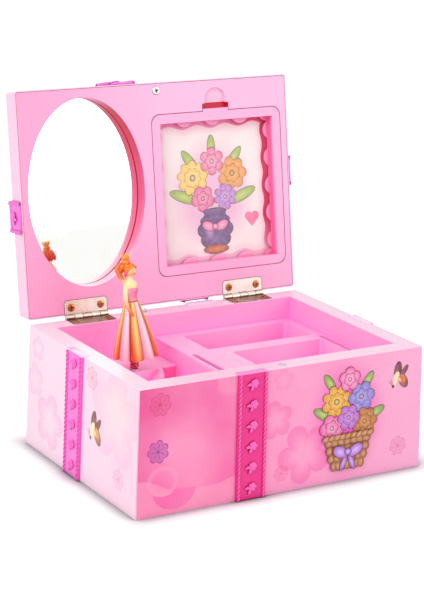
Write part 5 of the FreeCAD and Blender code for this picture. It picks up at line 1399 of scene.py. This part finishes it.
# %% Vase of flowers
def vase():
    drawn = Transfer()
    drawn.layer = 0.0022
    ink_line = tint(110, 60, 70)
    for centre, halves, turn in (((22, 66), (11, 3.4), 160), ((66, 64), (11, 3.4), 22), ((28, 88), (10, 3), 128),
                                 ((60, 88), (10, 3), 52), ((44, 96), (9, 2.8), 90)):
        drawn.lined(centre, halves, tint(206, 222, 120), tint(150, 184, 70), ink_line, turn=turn)
    for centre, radius, petals, heart, rim, turn in (
            ((29, 78), 11.5, 9, tint(255, 240, 160), tint(246, 206, 90), 10),
            ((59, 79), 11.0, 7, tint(252, 208, 110), tint(232, 150, 60), 0),
            ((44, 88), 9.0, 6, tint(255, 214, 228), tint(236, 110, 160), 30),
            ((36, 64), 8.5, 5, tint(255, 196, 220), tint(232, 96, 150), 50),
            ((53, 64), 8.5, 8, tint(240, 204, 250), tint(180, 120, 204), 15)):
        drawn.blossom(centre, radius, petals, heart, rim, turn)
    outline, body = tint(84, 44, 80), ((55, 8.6, 2.0), (52.6, 8.0, 2.4), (49, 11.0, 4.2), (43, 13.4, 7.0), (36.6, 11.2, 6.4))
    for level, half, tall in body:
        drawn.shape((44.5, level), (half + 0.4, tall + 0.4), outline, outline)
    for level, half, tall in body:
        drawn.shape((44.5, level), (half, tall), tint(136, 100, 158), tint(100, 64, 122))
    drawn.shape((40, 42), (3.2, 6.0), tint(190, 160, 210), tint(136, 100, 158), turn=12)
    drawn.lined((44.5, 30), (9.4, 2.8), tint(238, 130, 60), tint(170, 70, 40), ink_line)
    for side in (1, -1):
        drawn.lined((44.5 + side * 5.2, 45.5), (4.8, 2.9), tint(255, 200, 224), tint(236, 110, 166), ink_line, turn=side * 22)
    drawn.lined((44.5, 45), (1.9, 1.8), tint(255, 214, 230), tint(220, 90, 150), ink_line)
    for step in range(8):
        for side in (1, -1):
            size = 2.9 - 0.36 * step
            drawn.shape((73 + side * (2.5 - 0.33 * step), 49.6 - 0.92 * step), (size, size), tint(248, 120, 168), tint(248, 120, 168))
    return drawn.press("picture_vase", card_place, "lid", inks)


vase()

# %% [markdown]
# ## Metals
# The hinges are plated steel with a warm tinge, the screws brass, and the works a mix of brass and
# steel. Bare metal shows its surroundings, so each one gets fine rubbing marks in its roughness and
# bump, and a dark tint in the gaps, where Ambient Occlusion is low, that is dirt and painted shade
# together.

# %% Metal finishes
def metal(name, light, deep, gloss, dirt_and_gap_shade, reach=1.2, bare=1.0):
    """Metal between two near tints, with fine rubbing marks and a dark tint in the gaps that is grime and painted shade
    together.
    """
    paint = Paint(name, **{"Metallic": bare})
    marks = paint.noise(0.25, 3)
    worn = paint.rise(paint.noise(7, 2), 0.35, 0.7)
    # Grime and painted shade: a dark tint where Ambient Occlusion finds a gap.
    paint.colour = paint.mix(paint.shut_in(reach), paint.mix(worn, light, deep), dirt_and_gap_shade)
    paint.set("Base Color", paint.colour)
    paint.set("Roughness", gloss + 0.12 * marks + 0.06 * worn)
    paint.relief(marks, 0.006, 0.12)
    return paint


plated = metal("plated_steel", tint(246, 236, 224), tint(234, 220, 206), 0.2, tint(44, 12, 12), bare=0.5)
base_plated = metal("plated_steel_in_the_rim", tint(240, 230, 214), tint(226, 208, 186), 0.16, tint(40, 16, 14))
leaf_y = base_plated.place()[1]
# Painted reflection: the flat part of each base leaf is painted dark, as if it mirrored dark surroundings.
leaf_dark_reflection = base_plated.rise(leaf_y, hinge_y - 1.4, hinge_y - 2.0)
base_plated.set("Base Color", base_plated.mix(leaf_dark_reflection, base_plated.colour, tint(136, 92, 78)))
brassy = metal("brass_screw", tint(214, 138, 84), tint(164, 90, 46), 0.2, tint(44, 14, 10), 1.1)
nickelled = metal("nickelled_screw", tint(252, 252, 252), tint(244, 244, 246), 0.2, tint(36, 28, 34), 1.1, 0.3)
head_x, head_s, head_d = lid_axes(nickelled)
off_x, off_s = head_x - 0.5, head_s - 136.6
from_middle = nickelled.maths("SQRT", off_x * off_x + off_s * off_s)
turned_x, turned_s = 0.94 * off_x + 0.34 * off_s, 0.94 * off_s - 0.34 * off_x
arms = nickelled.maths("MINIMUM", abs(turned_x), abs(turned_s))
# Painted shade in the cross recess of the head, and a painted shadow ring round its edge.
cross = nickelled.rise(arms, 0.5, 0.32) * nickelled.rise(from_middle, 1.7, 1.5)
edge_ring_shadow = nickelled.rise(from_middle, 2.2, 2.6)
head_colour = nickelled.mix(edge_ring_shadow * 0.8, nickelled.colour, tint(150, 96, 120))
nickelled.set("Base Color", nickelled.mix(cross, head_colour, tint(70, 40, 56)))
bright = metal("bright_steel", tint(236, 236, 240), tint(200, 200, 206), 0.14, tint(40, 34, 40), 0.9)
clock_brass = metal("clock_brass", tint(236, 196, 110), tint(206, 160, 76), 0.2, tint(70, 44, 20))
nickel = metal("nickel_plate", tint(222, 218, 210), tint(190, 186, 178), 0.2, tint(60, 56, 54))
coat(plated, "hinge_lid_leaf_left", "hinge_lid_leaf_right")
coat(base_plated, "hinge_base_leaf_left", "hinge_base_leaf_right")
coat(nickelled, "catch_screw")
coat(bright, "hinge_pins", "catch_magnet", "bottom_screws", "comb_screws", "movement_screws", "doll_arbor",
     "stop_rod", "winding_arbor", "sound_comb", "mainspring")
coat(clock_brass, "great_wheel", "cylinder_gear", "pin_cylinder")
coat(nickel, "movement_plate", "spring_housing", "winding_key")
print("metals 7")

# %% [markdown]
# The hinge screws have low round heads with a cross recess. One is drawn up ring by ring, as the gown
# was, and a Boolean modifier takes the cross out of its head. Then it is copied to its eight places.

# %% Hinge screws
screw_profile = [(-6.0, 0.4), (-5.0, 0.9), (-0.9, 0.9), (0.0, 1.85), (0.02, 2.5), (0.18, 2.45), (0.36, 2.0), (0.42, 1.2)]
cross_length, cross_width, cross_depth = 3.2, 0.75, 0.4
screw_margin, screw_spread, base_screw_inset, lid_screw_inset = 40.4, 10.5, 6.0, 4.7


def hinge_screw():
    """A screw that stands on the flat plane, with its shank below."""
    made = stack(screw_profile, 24)
    edit(made, lambda: bpy.ops.mesh.fill_holes(sides=0))
    outward(made)
    for long_x, long_y in ((cross_length, cross_width), (cross_width, cross_length)):
        bar = box((-long_x / 2, -long_y / 2, -cross_depth), (long_x / 2, long_y / 2, 1))
        modify(made, "BOOLEAN", operation="DIFFERENCE", object=bar)
        pick(bar)
        bpy.ops.object.delete()
    return made


screw_rows = {"base": Matrix.Translation((0, (lid_half_y - base_screw_inset) * mm, base_top * mm)),
              "lid": swing_open @ Matrix.Translation((0, (lid_half_y - lid_screw_inset) * mm, lid_face * mm))
              @ Matrix.Rotation(math.pi, 4, "X")}
for body, row in screw_rows.items():
    screws = []
    for side in (1, -1):
        for step in (screw_spread, -screw_spread):
            screws.append(lay(hinge_screw(), row @ Matrix.Translation(((side * (lid_half_x - screw_margin) + step) * mm, 0, 0))))
    finish(weld(*screws), "hinge_screws_" + body, body, brassy, (f"hinge_{body}_screws",))

# %% [markdown]
# ## Floor and light
# The box stands on a white sheet under soft light from all round. The world is plain white to the
# camera and to reflections, and a calmer white as a light, so that pale plastic doesn't burn out.
# The sheet glows a little for the camera, except close to the box, so that its shadow shows there, and a
# painted grey shadow darkens it where Ambient Occlusion finds the box shutting the light out.

# %% Floor, lamps and world
bpy.ops.object.select_all(action="DESELECT")
bpy.ops.mesh.primitive_plane_add(size=6, location=(0, 0, 0))
floor = bpy.context.object
floor.name = "floor"
floor_paint = Paint("white_sheet", **{"Roughness": 0.9, "Specular IOR Level": 0.1})
rays = floor_paint.node("ShaderNodeLightPath", {}, {})
seen = Value(floor_paint, rays.outputs["Is Camera Ray"])
floor_x, floor_y, floor_z = floor_paint.place()
beside = floor_paint.maths("MAXIMUM", abs(floor_x) - base_half_x, 0)
before = floor_paint.maths("MAXIMUM", abs(floor_y) - base_half_y, 0)
away = floor_paint.rise(floor_paint.maths("SQRT", beside * beside + before * before), 0, 24)
# Painted shadow: the sheet is painted grey where Ambient Occlusion finds the box close by.
floor_paint.set("Base Color", floor_paint.mix(floor_paint.shut_in(12), tint(250, 250, 250), tint(84, 92, 88)))
floor_paint.set("Emission Color", floor_paint.mix(seen * away, (0.0, 0.0, 0.0), (0.45, 0.45, 0.45)))
floor_paint.set("Emission Strength", 1.0)
floor.data.materials.append(floor_paint.material)

world = bpy.data.worlds.new("studio")
bpy.context.scene.world = world
world.use_nodes = True
sky = world.node_tree
backdrop = sky.nodes["Background"]
backdrop.inputs["Color"].default_value = (1, 1, 1, 1)
path = sky.nodes.new("ShaderNodeLightPath")
first = sky.nodes.new("ShaderNodeMath")
first.operation = "MAXIMUM"
second = sky.nodes.new("ShaderNodeMath")
second.operation = "MAXIMUM"
strength = sky.nodes.new("ShaderNodeMapRange")
strength.inputs["To Min"].default_value = 0.62
strength.inputs["To Max"].default_value = 1.0
sky.links.new(path.outputs["Is Camera Ray"], first.inputs[0])
sky.links.new(path.outputs["Is Glossy Ray"], first.inputs[1])
sky.links.new(first.outputs[0], second.inputs[0])
sky.links.new(path.outputs["Is Transmission Ray"], second.inputs[1])
sky.links.new(second.outputs[0], strength.inputs["Value"])
sky.links.new(strength.outputs[0], backdrop.inputs["Strength"])


def lamp(name, place, target, size, watts):
    """A square soft box that faces the target."""
    data = bpy.data.lights.new(name, "AREA")
    data.size = size
    data.energy = watts
    made = bpy.data.objects.new(name, data)
    made.location = place
    made.rotation_euler = (Vector(target) - Vector(place)).to_track_quat("-Z", "Y").to_euler()
    bpy.context.scene.collection.objects.link(made)


middle = (0, 0, 0.09)
lamp("key_light", (-1.1, -0.5, 1.0), middle, 0.9, 10)
lamp("fill_light", (0.9, -1.1, 0.7), middle, 1.1, 5)
print("lamps 2")
